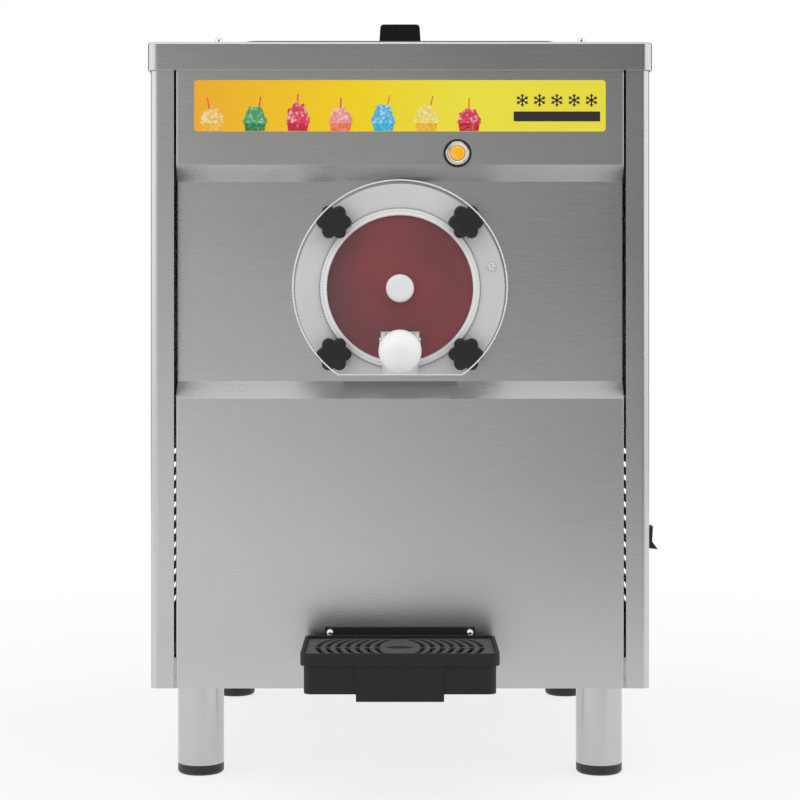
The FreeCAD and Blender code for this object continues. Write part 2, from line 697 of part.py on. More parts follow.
def make_evaporator_coil():
    """The copper rings around the barrel, joined by a liquid header below and a suction header beside."""
    reach = s.barrel_bore + s.barrel_wall + s.coil_tube + s.running
    rings = [hoop("Y", reach, s.coil_tube, 0, NECK + shift, s.barrel_high) for shift in coil_rings()]
    first, last = NECK + coil_rings()[0], suction_place()[1]
    header = s.coil_tube - s.skin / 3
    liquid = rod("Y", first, last, header, 0, 0, s.barrel_high - reach)
    suction = rod("Y", first, last, header, reach, 0, s.barrel_high)
    keep(fuse(*rings, liquid, suction), "evaporator_coil")


def make_barrel_insulation():
    """The foam shell around the barrel and its coil."""
    near, far = RECESS + s.skin * 3, BARREL_END - s.skin
    keep(cut(rod("Y", near, far, s.foam_round, 0, 0, s.barrel_high),
             rod("Y", near - 1, far + 1, s.foam_bore, 0, 0, s.barrel_high),
             rod("Z", s.barrel_high, s.barrel_high + s.foam_round + 1, s.outlet_round + s.skin, 0, NECK)),
         "barrel_insulation")


def make_shaft_seal():
    """The lip seal in the barrel's rear hub."""
    Piece("shaft_seal").place(0, 0, s.barrel_high).turn(
        "Y", rectangle(BARREL_END + s.skin, BARREL_END + s.hub_long - s.skin,
                       s.shaft_round + s.running, s.seal_round))


def make_beater():
    """The beater: shaft with a front nose, two spiders and two bars, and the blades that scrape the wall."""
    up = s.barrel_high
    bar_round = s.nose_round
    bar_reach = s.barrel_bore - s.stud_round * 3
    front = SEAT + s.loose * 10
    back = BARREL_END - s.barrel_end - s.loose * 10
    shaft = rod("Y", front, BARREL_END + s.hub_long + s.skin, s.shaft_round, 0, 0, up)
    nose = rod("Y", PLATE_FRONT - s.cap_proud / 3, front, s.nose_round, 0, 0, up)
    arms = [block(-bar_reach, bar_reach, along, along + bar_round * 2, up - bar_round, up + bar_round)
            for along in (front, back - bar_round * 2)]
    bars = [rod("Y", front, back, bar_round, side * bar_reach, 0, up) for side in (-1, 1)]
    keep(fuse(shaft, nose, *arms, *bars), "beater")
    tip = s.barrel_bore - s.loose * 2
    root = bar_reach + bar_round
    blades = [block(root if side > 0 else -tip, tip if side > 0 else -root, front + bar_round, back - bar_round,
                    up - s.skin, up + s.skin) for side in (-1, 1)]
    group("scraper_blades", blades)


def make_drive():
    """Coupling with the output shaft, gearmotor and its bracket on the shelf."""
    up = s.barrel_high
    start = BARREL_END + s.hub_long + s.skin
    stub = rod("Y", start, GEARBOX + s.gearbox_deep / 2, s.shaft_round, 0, 0, up)
    sleeve = rod("Y", start, GEARBOX - s.loose * 4, s.seal_round, 0, 0, up)
    keep(fuse(sleeve, stub), "drive_coupling")
    half = s.gearbox_half
    gearbox = block(-half, half, GEARBOX, GEARBOX + s.gearbox_deep, up - half, up + half)
    motor = rod("Y", GEARBOX + s.gearbox_deep, GEARBOX + s.gearbox_deep + s.motor_long, s.motor_round, 0, 0, up)
    bore = rod("Y", GEARBOX - 1, GEARBOX + s.gearbox_deep / 2 + s.skin, s.shaft_round + s.running, 0, 0, up)
    keep(cut(fuse(gearbox, motor), bore), "gearmotor")
    wall = s.pan_skin * 2
    keep(cut(block(-half, half, GEARBOX, GEARBOX + s.gearbox_deep, s.shelf_top, up - half),
             block(wall - half, half - wall, GEARBOX - 1, GEARBOX + s.gearbox_deep + 1,
                   s.shelf_top + wall, up - half - wall)), "gearmotor_bracket")


# ---------------------------------------------------------------- faceplate

def stud_places():
    """The four stud centres about the barrel axis: upper left, upper right, lower left, lower right."""
    return [(side * s.stud_reach, up * s.stud_reach) for up in (1, -1) for side in (-1, 1)]


def make_studs_and_washers():
    """The studs welded to the flange and the spacers under the knobs."""
    tip = PLATE_FRONT - s.washer_thick - s.stud_grip
    group("faceplate_studs", [rod("Y", tip, SEAT, s.stud_round, across, 0, s.barrel_high + up)
                              for across, up in stud_places()])
    washers = []
    for across, up in stud_places():
        washer = Piece("washer", sub_part=False)
        washer.pad("XZ", PLATE_FRONT - s.washer_thick, PLATE_FRONT,
                   circle(across, up, s.washer_round), circle(across, up, s.stud_round + s.loose))
        washers.append(washer.place(0, 0, s.barrel_high).body)
    group("knob_washers", washers)


def make_knob(name, across, up):
    """A six-lobed clamping knob with a blind bore for its stud."""
    piece = Piece(name).place(across, 0, s.barrel_high + up)
    back = PLATE_FRONT - s.washer_thick - s.loose
    front = back - s.knob_thick
    piece.pad("XZ", front, back, circle(0, 0, s.knob_hub))
    piece.pad("XZ", front, back, circle(s.lobe_reach, 0, s.lobe_round)).ring("Y", 6)
    piece.cut("XZ", back - s.stud_grip - s.loose, back + 1, circle(0, 0, s.stud_round + s.running))


def web_outline(radius, web, web_top):
    """A circle with a notch from below, where the valve's web stands."""
    foot = (radius * radius - web * web).root()
    return [(web, -foot, radius), (radius, 0, radius), (0, radius, radius), (-radius, 0, radius),
            (-web, -foot), (-web, -web_top), (web, -web_top)]


def make_faceplate():
    """The moulded faceplate with window seat, rim, valve boss, lever ears and seal groove."""
    piece = Piece("faceplate").place(0, 0, s.barrel_high)
    radius, flat = s.plate_round, s.plate_flat
    half = (radius * radius - flat * flat).root()
    plate = [(-half, -flat), (half, -flat, radius), (radius, 0, radius), (0, radius, radius), (-radius, 0, radius)]
    piece.pad("XZ", PLATE_FRONT, SEAT, plate)
    piece.pad("XZ", PLATE_FRONT - s.rim_proud, PLATE_FRONT, circle(0, 0, s.window_round + s.rim_wide),
              circle(0, 0, s.window_round))
    piece.pad("XY", -flat, -s.boss_top, circle(0, VALVE, s.boss_round))
    web = s.boss_round + 1
    web_top = s.boss_top - s.pan_skin
    for side in (-1, 1):
        inner = s.boss_round - s.ear_thick
        left, right = (inner, s.boss_round) if side > 0 else (-s.boss_round, -inner)
        piece.pad("YZ", left, right, rectangle(VALVE - s.lever_arm - s.hinge_pin * 2.4, VALVE,
                                               -s.pivot_low - s.hinge_pin * 3, -s.pivot_low + s.hinge_pin * 3))
    piece.cut("XZ", PLATE_FRONT, PLATE_FRONT + s.window_thick, web_outline(s.window_round, web, web_top))
    piece.cut("XZ", PLATE_FRONT + s.window_thick, SEAT,
              web_outline(s.window_round - s.window_ledge, web, web_top))
    bore = s.valve_bore + s.running
    piece.cut("XY", -flat, -s.boss_top + 1, circle(0, VALVE, bore))
    slot = s.neck_round + s.prong_wide + s.skin
    piece.cut("XY", s.piston_high - s.piston_low - s.pan_skin, -s.boss_top + 1,
              rectangle(-slot, slot, VALVE - s.boss_round - 1, VALVE))
    piece.cut("XZ", VALVE, SEAT, circle(0, -s.port_low, s.port_round))
    piece.cut("XZ", PLATE_FRONT, SEAT,
              *[circle(across, up, s.stud_round + s.loose) for across, up in stud_places()],
              circle(s.pin_across, s.pin_up, s.pin_round + s.running))
    groove = s.seal_cord * 1.05
    piece.cut("XZ", SEAT - s.seal_cord * 2.1, SEAT, circle(0, 0, s.seal_reach + groove),
              circle(0, 0, s.seal_reach - groove))
    piece.cut("YZ", -s.boss_round - 1, s.boss_round + 1,
              circle(VALVE - s.lever_arm, -s.pivot_low, s.hinge_pin + s.running))


def make_window_and_cap():
    """The tinted window, the centre cap that carries the beater's nose, and the locating pin."""
    up = s.barrel_high
    web = s.boss_round + 1 + s.running
    piece = Piece("sight_window").place(0, 0, up)
    piece.pad("XZ", PLATE_FRONT, PLATE_FRONT + s.window_thick,
              web_outline(s.window_round - s.running, web, s.boss_top - s.pan_skin - s.running))
    piece.cut("XZ", PLATE_FRONT, PLATE_FRONT + s.window_thick, circle(0, 0, s.cap_stem + s.running))
    cap = Piece("centre_cap").place(0, 0, up)
    front = PLATE_FRONT - s.cap_proud
    blind = PLATE_FRONT - s.cap_proud * 0.4
    bore = s.nose_round + s.running
    back = PLATE_FRONT + s.window_thick + s.pan_skin
    cap.turn("Y", [(front, 0), (front, s.cap_round - s.skin), (front + s.skin, s.cap_round),
                   (PLATE_FRONT, s.cap_round), (PLATE_FRONT, s.cap_stem), (back, s.cap_stem), (back, bore),
                   (blind, bore), (blind, 0)])
    pin = Piece("locating_pin").place(s.pin_across, 0, up + s.pin_up)
    pin.turn("Y", [(PLATE_FRONT - s.pin_round, 0), (PLATE_FRONT - s.pin_round, s.pin_round),
                   (PLATE_FRONT - s.skin, s.pin_head), (PLATE_FRONT, s.pin_head), (PLATE_FRONT, s.pin_round),
                   (SEAT + s.pin_round, s.pin_round), (SEAT + s.pin_round, 0)])
    keep(hoop("Y", s.seal_reach, s.seal_cord, 0, SEAT - s.seal_cord - s.running, up), "barrel_seal")


def make_valve():
    """The plunger with its neck and collar, and its two seals."""
    piece = Piece("valve_plunger").place(0, VALVE, s.barrel_high)
    low = -s.piston_low
    top = low + s.piston_high
    neck_top = top + s.neck_high
    groove = s.oring_cord * 1.15
    grooves = []
    for share in (0.25, 0.75):
        middle = low + s.piston_high * share
        deep = s.valve_bore - s.oring_cord * 2.2
        grooves += [(middle - groove, s.valve_bore), (middle - groove, deep), (middle + groove, deep),
                    (middle + groove, s.valve_bore)]
    piece.turn("Z", [(low, 0), (low, s.valve_bore), *grooves, (top, s.valve_bore), (top, s.neck_round),
                     (neck_top, s.neck_round), (neck_top, s.valve_bore),
                     (neck_top + s.collar_high, s.valve_bore), (neck_top + s.collar_high, 0)])
    group("plunger_seals", [hoop("Z", s.valve_bore - s.oring_cord - s.running / 2, s.oring_cord, 0, VALVE,
                                 s.barrel_high + low + s.piston_high * share) for share in (0.25, 0.75)])


def make_lever():
    """The forked lever with its ball, hinge pin and return spring."""
    up = s.barrel_high - s.pivot_low
    pivot = VALVE - s.lever_arm
    hub_half = s.neck_round + s.prong_wide + s.running * 2
    hub = rod("X", -hub_half, hub_half, s.hinge_pin * 2.2, 0, pivot, up)
    inner = s.neck_round + s.running * 4
    prongs = [block(inner if side > 0 else -hub_half, hub_half if side > 0 else -inner, pivot,
                    VALVE + s.neck_round - 1, up - s.prong_thick / 2, up + s.prong_thick / 2) for side in (-1, 1)]
    knob = Vector(0, (FRONT - s.ball_out).value, (s.barrel_high - s.ball_low).value)
    heel = Vector(0, pivot.value, up.value)
    arm = doc.addObject("Part::Cylinder", "arm")
    way = knob - heel
    arm.Placement = FreeCAD.Placement(Vector(), FreeCAD.Rotation(Vector(0, 0, 1), way))
    put(arm, 0, pivot, up)
    run = pivot - FRONT + s.ball_out
    fall = s.ball_low - s.pivot_low
    arm.setExpression("Height", (run * run + fall * fall).root().text)
    arm.setExpression("Radius", s.rod_round.text)
    bore = rod("X", -hub_half - 1, hub_half + 1, s.hinge_pin + s.running, 0, pivot, up)
    keep(cut(fuse(hub, *prongs, arm), bore), "dispense_lever")
    socket = doc.copyObject(arm)
    put(socket, 0, pivot, up)
    socket.setExpression("Radius", (s.rod_round + s.running).text)
    keep(cut(ball(s.ball_round, 0, FRONT - s.ball_out, s.barrel_high - s.ball_low), socket), "lever_ball")
    end = s.boss_round + s.skin
    head = s.hinge_pin * 1.5
    keep(fuse(rod("X", -end, end, s.hinge_pin, 0, pivot, up), rod("X", s.boss_round, end, head, 0, pivot, up),
              rod("X", -end, -s.boss_round, head, 0, pivot, up)), "lever_pin")
    spring = doc.addObject("Part::Feature", "spring_coil")
    reach = (s.hinge_pin + s.spring_wire * 1.6).value
    wire = s.spring_wire.value
    long = (s.boss_round - s.ear_thick - hub_half - s.spring_wire * 3).value
    helix = Part.makeHelix(long / 3, long, reach)
    section = Part.Wire(Part.makeCircle(wire, Vector(reach, 0, 0), Vector(0, 1, 0)))
    spring.Shape = Part.Wire(helix).makePipeShell([section], True, True)
    spring.Placement = FreeCAD.Placement(Vector(), TURNS["X"])
    put(spring, hub_half + s.spring_wire * 1.5, pivot, up)
    keep(spring, "lever_spring")


# ---------------------------------------------------------------- electrics

def switch_window():
    """Half depth and half height of the switch's hole in the panel."""
    return s.switch_deep / 2 - s.skin, s.switch_tall / 2 - s.skin


def make_switch():
    """The switch bezel with its housing, and the tilted rocker on its pins."""
    along, up = FRONT + s.switch_back, s.switch_high
    half_deep, half_tall = switch_window()
    wall = s.skin
    proud = CABINET_HALF + s.pan_skin
    deep = s.rocker_reach / 2 + s.pan_skin * 2
    pivot = CABINET_HALF - s.skin
    outer = block(CABINET_HALF, proud, along - s.switch_deep / 2, along + s.switch_deep / 2,
                  up - s.switch_tall / 2, up + s.switch_tall / 2)
    housing = block(pivot - deep - wall, CABINET_HALF, along - half_deep, along + half_deep,
                    up - half_tall, up + half_tall)
    cavity = block(pivot - deep, proud + 1, along - half_deep + wall, along + half_deep - wall,
                   up - half_tall + wall, up + half_tall - wall)
    pin = s.hinge_pin / 2
    holes = rod("Y", along - half_deep - 1, along + half_deep + 1, pin + s.running, pivot, 0, up)
    keep(cut(fuse(outer, housing), cavity, holes), "switch_bezel")
    half = half_deep - wall - s.loose
    upper, lower = s.rocker_half + s.rocker_tilt, s.rocker_half - s.rocker_tilt
    reach = s.rocker_reach
    rocker = Piece("rocker", sub_part=False).place(pivot, 0, up)
    rocker.pad("XZ", along - half, along + half,
               [(reach * lower.cosine(), -reach * lower.sine()), (reach * 0.5, -reach * 0.08),
                (reach * upper.cosine(), reach * upper.sine()), (-reach / 3, reach * 0.4),
                (-reach / 3, -reach * 0.4)])
    pins = rod("Y", along - half_deep + s.loose, along + half_deep - s.loose, pin, pivot, 0, up)
    keep(fuse(rocker.body, pins), "power_rocker")


def make_indicator():
    """The indicator's bezel and its domed lens."""
    across, up = s.indicator_across, s.indicator_high
    bezel = Piece("indicator_bezel").place(across, 0, up)
    hole = s.lens_round + s.running
    bezel.turn("Y", [(FRONT - s.bezel_proud, hole), (FRONT - s.bezel_proud, s.bezel_round - s.skin),
                     (FRONT - s.skin, s.bezel_round), (FRONT, s.bezel_round), (FRONT, s.lens_round + s.skin),
                     (FRONT + s.bezel_proud * 4, s.lens_round + s.skin), (FRONT + s.bezel_proud * 4, hole)])
    lens = Piece("indicator_lens").place(across, 0, up)
    tip = s.lens_round / 2
    dome = (s.lens_round * s.lens_round + tip * tip) / (tip * 2)
    lens.turn("Y", [(FRONT + s.bezel_proud * 4, 0), (FRONT + s.bezel_proud * 4, s.lens_round),
                    (FRONT - s.bezel_proud + s.skin, s.lens_round, dome),
                    (FRONT - s.bezel_proud + s.skin - tip, 0)])


def make_control_box():
    """The box of relays and thermostat beside the switch."""
    right = CABINET_HALF - s.frame_bar * 2
    near = FRONT + s.frame_bar * 2
    keep(block(right - s.gearbox_half * 1.6, right, near, near + s.vent_long, PAN_TOP, s.switch_high + s.vent_long),
         "control_box")


def gland_place():
    """Across and up of the cord gland on the rear panel."""
    return CABINET_HALF - s.front_return - s.vent_long / 2, PAN_TOP + s.pan_wall + s.gland_round


def gland_neck():
    """The gland's radius through the panel."""
    return s.gland_bore + s.skin * 2


def make_cord_gland():
    """The gland for a mains cord, with a clear bore."""
    across, up = gland_place()
    inside = REAR - s.gland_reach
    Piece("cord_gland").place(across, 0, up).turn(
        "Y", [(inside, s.gland_bore), (inside, gland_neck()), (REAR, gland_neck()), (REAR, s.gland_round),
              (REAR + s.pan_skin * 2, s.gland_round), (REAR + s.gland_reach, gland_neck()),
              (REAR + s.gland_reach, s.gland_bore)])


# ---------------------------------------------------------------- cooling

def compressor_place():
    """Across and along of the compressor."""
    return suction_place()


def drier_place():
    """Across and along of the filter drier."""
    return -s.frame_bar * 3, GEARBOX + s.motor_gap


def suction_place():
    """Across and along of the suction pipe behind the barrel."""
    return s.barrel_bore + s.barrel_wall + s.coil_tube + s.running, BARREL_END + s.hub_long + s.coil_tube * 2


def make_compressor():
    """The compressor's can on its footed base plate."""
    across, along = compressor_place()
    piece = Piece("compressor", sub_part=False).place(across, along)
    radius, low = s.can_round, PAN_TOP + s.frame_bar / 2
    top = low + s.can_high
    soft = s.frame_bar
    piece.turn("Z", [(low, 0), (low, radius), (top - soft, radius, -soft), (top, radius - soft), (top, 0)])
    plate = block(across - radius, across + radius, along - radius, along + radius, low - s.pan_skin, low)
    feet = [rod("Z", PAN_TOP, low - s.pan_skin, s.frame_bar / 2, across + side * (radius - s.frame_bar),
                along + way * (radius - s.frame_bar)) for side in (-1, 1) for way in (-1, 1)]
    keep(fuse(piece.body, plate, *feet), "compressor")


def condenser_box():
    """Left, right, near, far and top of the condenser."""
    left = -CABINET_HALF + s.frame_bar + s.frame_wide
    near = FRONT + s.frame_bar * 3
    return left, left + s.condenser_thick, near, near + s.condenser_deep, PAN_TOP + s.condenser_high


def make_condenser():
    """The finned condenser: end plates, thin fins and two rows of tubes."""
    left, right, near, far, top = condenser_box()
    piece = Piece("condenser")
    tubes = [circle(left + s.condenser_thick * share, PAN_TOP + s.vent_pitch * (1 + 2.5 * number), s.coil_tube)
             for share in (0.3, 0.7) for number in range(7)]
    piece.pad("XZ", near, far, *tubes)
    fin = rectangle(left, right, PAN_TOP, top)
    piece.pad("XZ", near, near + s.skin, fin)
    piece.row("Y", (s.condenser_deep - s.skin) / 15, 16)


def fan_place():
    """Along and up of the fan's axis."""
    return condenser_box()[2] + s.condenser_deep / 2, s.fan_high


def make_fan():
    """Shroud with its motor arms, motor, and the five-blade fan."""
    along, up = fan_place()
    face = condenser_box()[1]
    wall = s.pan_skin
    half = s.fan_round + s.frame_bar
    back = face + s.gearbox_deep
    plate = cut(block(face, face + wall, along - half, along + half, PAN_TOP, up + half),
                rod("X", face - 1, face + wall + 1, s.fan_round + s.skin * 2, 0, along, up))
    strap = block(back, back + wall, along - half, along + half, up - s.frame_bar / 2, up + s.frame_bar / 2)
    pillars = [block(face + wall, back, along + side * half - (wall if side > 0 else 0),
                     along + side * half + (0 if side > 0 else wall), up - s.frame_bar / 2, up + s.frame_bar / 2)
               for side in (-1, 1)]
    keep(fuse(plate, strap, *pillars), "fan_shroud")
    motor_long = s.frame_bar * 1.6
    keep(rod("X", back - motor_long, back, s.motor_round * 0.8, 0, along, up), "fan_motor")
    fan = Piece("fan_blade").place(0, along, up)
    start = face + wall * 3
    end = back - motor_long - s.loose
    fan.pad("YZ", start, end, circle(0, 0, s.motor_round / 2))
    lift = s.motor_round / 4
    fan.pad("XZ", s.motor_round / 3, s.fan_round,
            [(start, -lift), (start + s.skin * 1.5, -lift), (end, lift), (end - s.skin * 1.5, lift)]).ring("X", 5)


def make_drier():
    """The filter drier, a capped canister."""
    across, along = drier_place()
    low = PAN_TOP + s.frame_bar * 2
    neck, body = s.coil_tube, s.coil_tube * 2.8
    high = low + s.vent_long
    Piece("filter_drier").place(across, along).turn(
        "Z", [(low, 0), (low, neck), (low + neck * 3, body), (high - neck * 3, body), (high, neck), (high, 0)])


def pipe(corners):
    """A pipe of straight runs with round elbows, through corners given as three sizes each."""
    parts = [ball(s.coil_tube, *corner) for corner in corners[1:-1]]
    for first, last in zip(corners, corners[1:]):
        moved = [axis for axis in range(3) if abs(as_size(last[axis]).value - as_size(first[axis]).value) > 1e-6]
        axis = moved[0]
        start, end = sorted((as_size(first[axis]), as_size(last[axis])), key=lambda size: size.value)
        parts.append(rod("XYZ"[axis], start, end, s.coil_tube, *first))
    return fuse(*parts)


def make_refrigerant_lines():
    """Discharge, condensate, liquid and suction pipes."""
    can_x, can_y = compressor_place()
    drier_x, drier_y = drier_place()
    suction_x, suction_y = suction_place()
    left, right, _, far, top = condenser_box()
    middle = (left + right) / 2
    can_top = PAN_TOP + s.frame_bar / 2 + s.can_high
    side = can_top - s.frame_bar * 2
    high = top - s.frame_bar
    drier_low = PAN_TOP + s.frame_bar * 2
    below = drier_low - s.frame_bar
    discharge = [(can_x - s.can_round, can_y, side), (middle, can_y, side), (middle, can_y, high), (middle, far, high)]
    condensate = [(middle, far, below), (middle, drier_y, below), (drier_x, drier_y, below),
                  (drier_x, drier_y, drier_low)]
    above = s.shelf_top + s.coil_tube * 2
    header = s.barrel_high - suction_x
    liquid = [(drier_x, drier_y, drier_low + s.vent_long), (drier_x, drier_y, above),
              (drier_x, suction_y + s.coil_tube, above), (0, suction_y + s.coil_tube, above),
              (0, suction_y + s.coil_tube, header)]
    suction = [(suction_x, suction_y + s.coil_tube, s.barrel_high), (suction_x, suction_y + s.coil_tube, can_top)]
    group("refrigerant_lines", [pipe(route) for route in (discharge, condensate, liquid, suction)])


# ---------------------------------------------------------------- drip tray

TRAY_FRONT = FRONT - s.tray_reach
TRAY_BACK = FRONT - s.tray_back


def make_drip_tray():
    """The tray: rim band, tucked-in bowl, grille ledge and the grip below its front."""
    half = s.tray_wide / 2
    wall = s.tray_wall
    piece = Piece("drip_tray")
    band_low = s.tray_top - s.tray_band
    tuck = s.tray_tuck
    soft = s.corner_round
    piece.pad("XY", band_low, s.tray_top, rectangle(-half, half, TRAY_FRONT, TRAY_BACK, soft))
    piece.pad("XY", s.tray_low, band_low,
              rectangle(tuck - half, half - tuck, TRAY_FRONT + tuck, TRAY_BACK - tuck, soft))
    piece.pad("XY", s.tongue_low, band_low,
              rectangle(-s.grip_half, s.grip_half, TRAY_FRONT + s.skin, TRAY_FRONT + s.frame_bar * 0.8))
    ledge = s.tray_top - s.grille_drop - s.grille_thick
    piece.cut("XY", ledge, s.tray_top, rectangle(wall - half, half - wall, TRAY_FRONT + wall, TRAY_BACK - wall,
                                                soft - wall))
    inset = tuck + wall
    piece.cut("XY", s.tray_low + wall, ledge,
              rectangle(inset - half, half - inset, TRAY_FRONT + inset, TRAY_BACK - inset, soft - wall))


def slot_outline(centre, side, low, high):
    """One curved slot between two places along the tray, bulging away from the middle."""
    outer, inner = s.slot_arc + s.slot_wide / 2, s.slot_arc - s.slot_wide / 2
    middle = (TRAY_FRONT + TRAY_BACK) / 2

    def across(radius, up):
        return side * ((radius * radius - up * up).root() + centre - s.slot_arc)

    ends = [(across(inner, low), middle + low), (across(outer, low), middle + low, side * outer),
            (across(outer, high), middle + high), (across(inner, high), middle + high, side * -inner)]
    return ends


def make_drip_grille():
    """The grille: an eye in the middle and curved slots that follow each other to both sides."""
    half = s.tray_wide / 2 - s.tray_wall - s.loose
    top = s.tray_top - s.grille_drop
    low = top - s.grille_thick
    lap = s.tray_wall + s.loose
    piece = Piece("drip_grille")
    piece.pad("XY", low, top, rectangle(-half, half, TRAY_FRONT + lap, TRAY_BACK - lap, s.corner_round - lap))
    bar = s.cross_bar / 2
    for side in (-1, 1):
        piece.cut("XY", low - 1, top, slot_outline(s.slot_first, side, -s.slot_reach, -bar),
                  slot_outline(s.slot_first, side, bar, s.slot_reach))
        piece.row("X", s.slot_pitch, 7)
        if side < 0:
            piece.tip.Reversed = True
    middle = (TRAY_FRONT + TRAY_BACK) / 2
    bow = (s.eye_half * s.eye_half + s.eye_reach * s.eye_reach) / (s.eye_reach * 2)
    piece.cut("XY", low - 1, top, [(-s.eye_half, middle, bow), (s.eye_half, middle, bow)])


def make_tray_bracket():
    """The bracket on the front panel, with two arms under the tray."""
    plate = block(-s.bracket_half, s.bracket_half, FRONT - s.bracket_thick, FRONT, s.tongue_low, s.bracket_top)
    arms = [block(side * s.grip_half * 0.8 - s.corner_round, side * s.grip_half * 0.8 + s.corner_round,
                  FRONT - s.tray_reach + s.frame_bar, FRONT - s.bracket_thick, s.tongue_low, s.tray_low)
            for side in (-1, 1)]
    holes = [rod("Y", FRONT - s.bracket_thick - 1, FRONT + 1, s.screw_round, hole[1], 0, hole[2])
             for hole in bracket_holes()]
    keep(cut(fuse(plate, *arms), *holes), "tray_bracket")


# ---------------------------------------------------------------- build, check and write

def build():
    """Make every sub-part."""
    make_base_pan()
    make_side_frames()
    make_front_panel()
    make_side_panel("left_side_panel", -1)
    make_side_panel("right_side_panel", 1)
    make_rear_panel()
    make_top_cover()
    make_dome_screws()
    make_legs_and_feet()
    make_component_shelf()
    make_label_plate()
    make_hopper()
    make_hopper_gasket()
    make_lid()
    make_feed_tube()
    make_barrel()
    make_evaporator_coil()
    make_barrel_insulation()
    make_shaft_seal()
    make_beater()
    make_drive()
    make_studs_and_washers()
    names = ("upper_left_knob", "upper_right_knob", "lower_left_knob", "lower_right_knob")
    for name, (across, up) in zip(names, stud_places()):
        make_knob(name, across, up)
    make_faceplate()
    make_window_and_cap()
    make_valve()
    make_lever()
    make_switch()
    make_indicator()
    make_control_box()
    make_cord_gland()
    make_compressor()
    make_condenser()
    make_fan()
    make_drier()
    make_refrigerant_lines()
    make_drip_tray()
    make_drip_grille()
    make_tray_bracket()
    doc.recompute()


def check():
    """Stop if any object failed, any sub-part's shape is bad, or a cut took nothing away."""
    failed = [obj.Name for obj in doc.Objects if {"Invalid", "Error"} & set(obj.State)]
    bad = [node.Label for node in NODES if node.Shape.isNull() or not node.Shape.isValid()]
    idle = [made.Name for before, made in CUTS if made.Shape.Volume > before.Shape.Volume - 1e-3]
    if failed or bad or idle:
        raise RuntimeError(f"failed: {failed}; bad shapes: {bad}; cuts that cut nothing: {idle}")


def write():
    """Write one file for each sub-part."""
    os.makedirs("parts", exist_ok=True)
    for node in NODES:
        node.Shape.exportStep(f"parts/{node.Label}.step")
        print(node.Label, len(node.Shape.Solids), round(node.Shape.Volume))


build()
check()
write()
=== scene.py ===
"""Looks for a counter-top frozen drink maker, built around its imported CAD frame.

Each sub-assembly is a class. Its build method makes the meshes that show, dresses them in
procedural finishes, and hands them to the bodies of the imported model.
"""

from __future__ import annotations

import logging
import math
from collections.abc import Callable, Iterable, Sequence
from dataclasses import dataclass
from enum import Enum

import bmesh
import bpy
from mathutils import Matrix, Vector

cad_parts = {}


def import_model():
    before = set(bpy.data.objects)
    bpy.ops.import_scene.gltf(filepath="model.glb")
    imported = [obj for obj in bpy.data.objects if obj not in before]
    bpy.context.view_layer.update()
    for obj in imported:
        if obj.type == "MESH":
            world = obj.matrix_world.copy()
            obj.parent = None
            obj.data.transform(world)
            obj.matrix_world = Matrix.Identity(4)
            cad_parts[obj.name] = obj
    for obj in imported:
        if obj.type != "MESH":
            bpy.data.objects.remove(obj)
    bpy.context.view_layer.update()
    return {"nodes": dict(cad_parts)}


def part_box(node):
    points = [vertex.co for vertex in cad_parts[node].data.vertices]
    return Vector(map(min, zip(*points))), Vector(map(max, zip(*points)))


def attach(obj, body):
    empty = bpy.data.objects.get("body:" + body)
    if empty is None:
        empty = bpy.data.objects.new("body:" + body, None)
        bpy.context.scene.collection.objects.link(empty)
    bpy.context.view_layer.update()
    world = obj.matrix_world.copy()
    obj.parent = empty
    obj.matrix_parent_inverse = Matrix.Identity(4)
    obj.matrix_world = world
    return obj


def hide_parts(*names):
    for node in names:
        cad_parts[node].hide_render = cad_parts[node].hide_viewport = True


log = logging.getLogger("drink_maker")

MM = 0.001
WELD = 1e-6
FOLD_LEAST = 60 * MM
FACE_LEAST = 3 * MM
FOLD_TURN = 0.9
TOWARDS_FRONT = (0, -1, 0)
Colour = tuple[float, float, float]
Point = tuple[float, float, float]


class Slot(Enum):
    """The record's material slots."""

    STAINLESS = "stainless"
    COVER = "stainless_cover"
    FOOD_STEEL = "stainless_food"
    GALVANISED = "galvanised"
    BLACK_PLASTIC = "black_plastic"
    TRAY = "tray_plastic"
    GRILLE = "grille_plastic"
    WHITE_PLASTIC = "white_plastic"
    PLATE = "plate_plastic"
    WINDOW = "window_tint"
    BLACK_RUBBER = "black_rubber"
    WHITE_RUBBER = "white_rubber"
    COPPER = "copper"
    FOAM = "foam"
    LABEL = "label_yellow"
    AMBER = "amber_lens"
    CHROME = "chrome"
    MACHINE_BLACK = "machine_black"
    MACHINE_GREY = "machine_grey"
    FINS = "fin_aluminium"


class Grain(Enum):
    """How a noise is stretched, as a scale along x, y and z for each metre."""

    EVEN = (1.0, 1.0, 1.0)
    LEVEL_BRUSH = (0.02, 0.02, 1.0)


# ---------------------------------------------------------------- shader tools


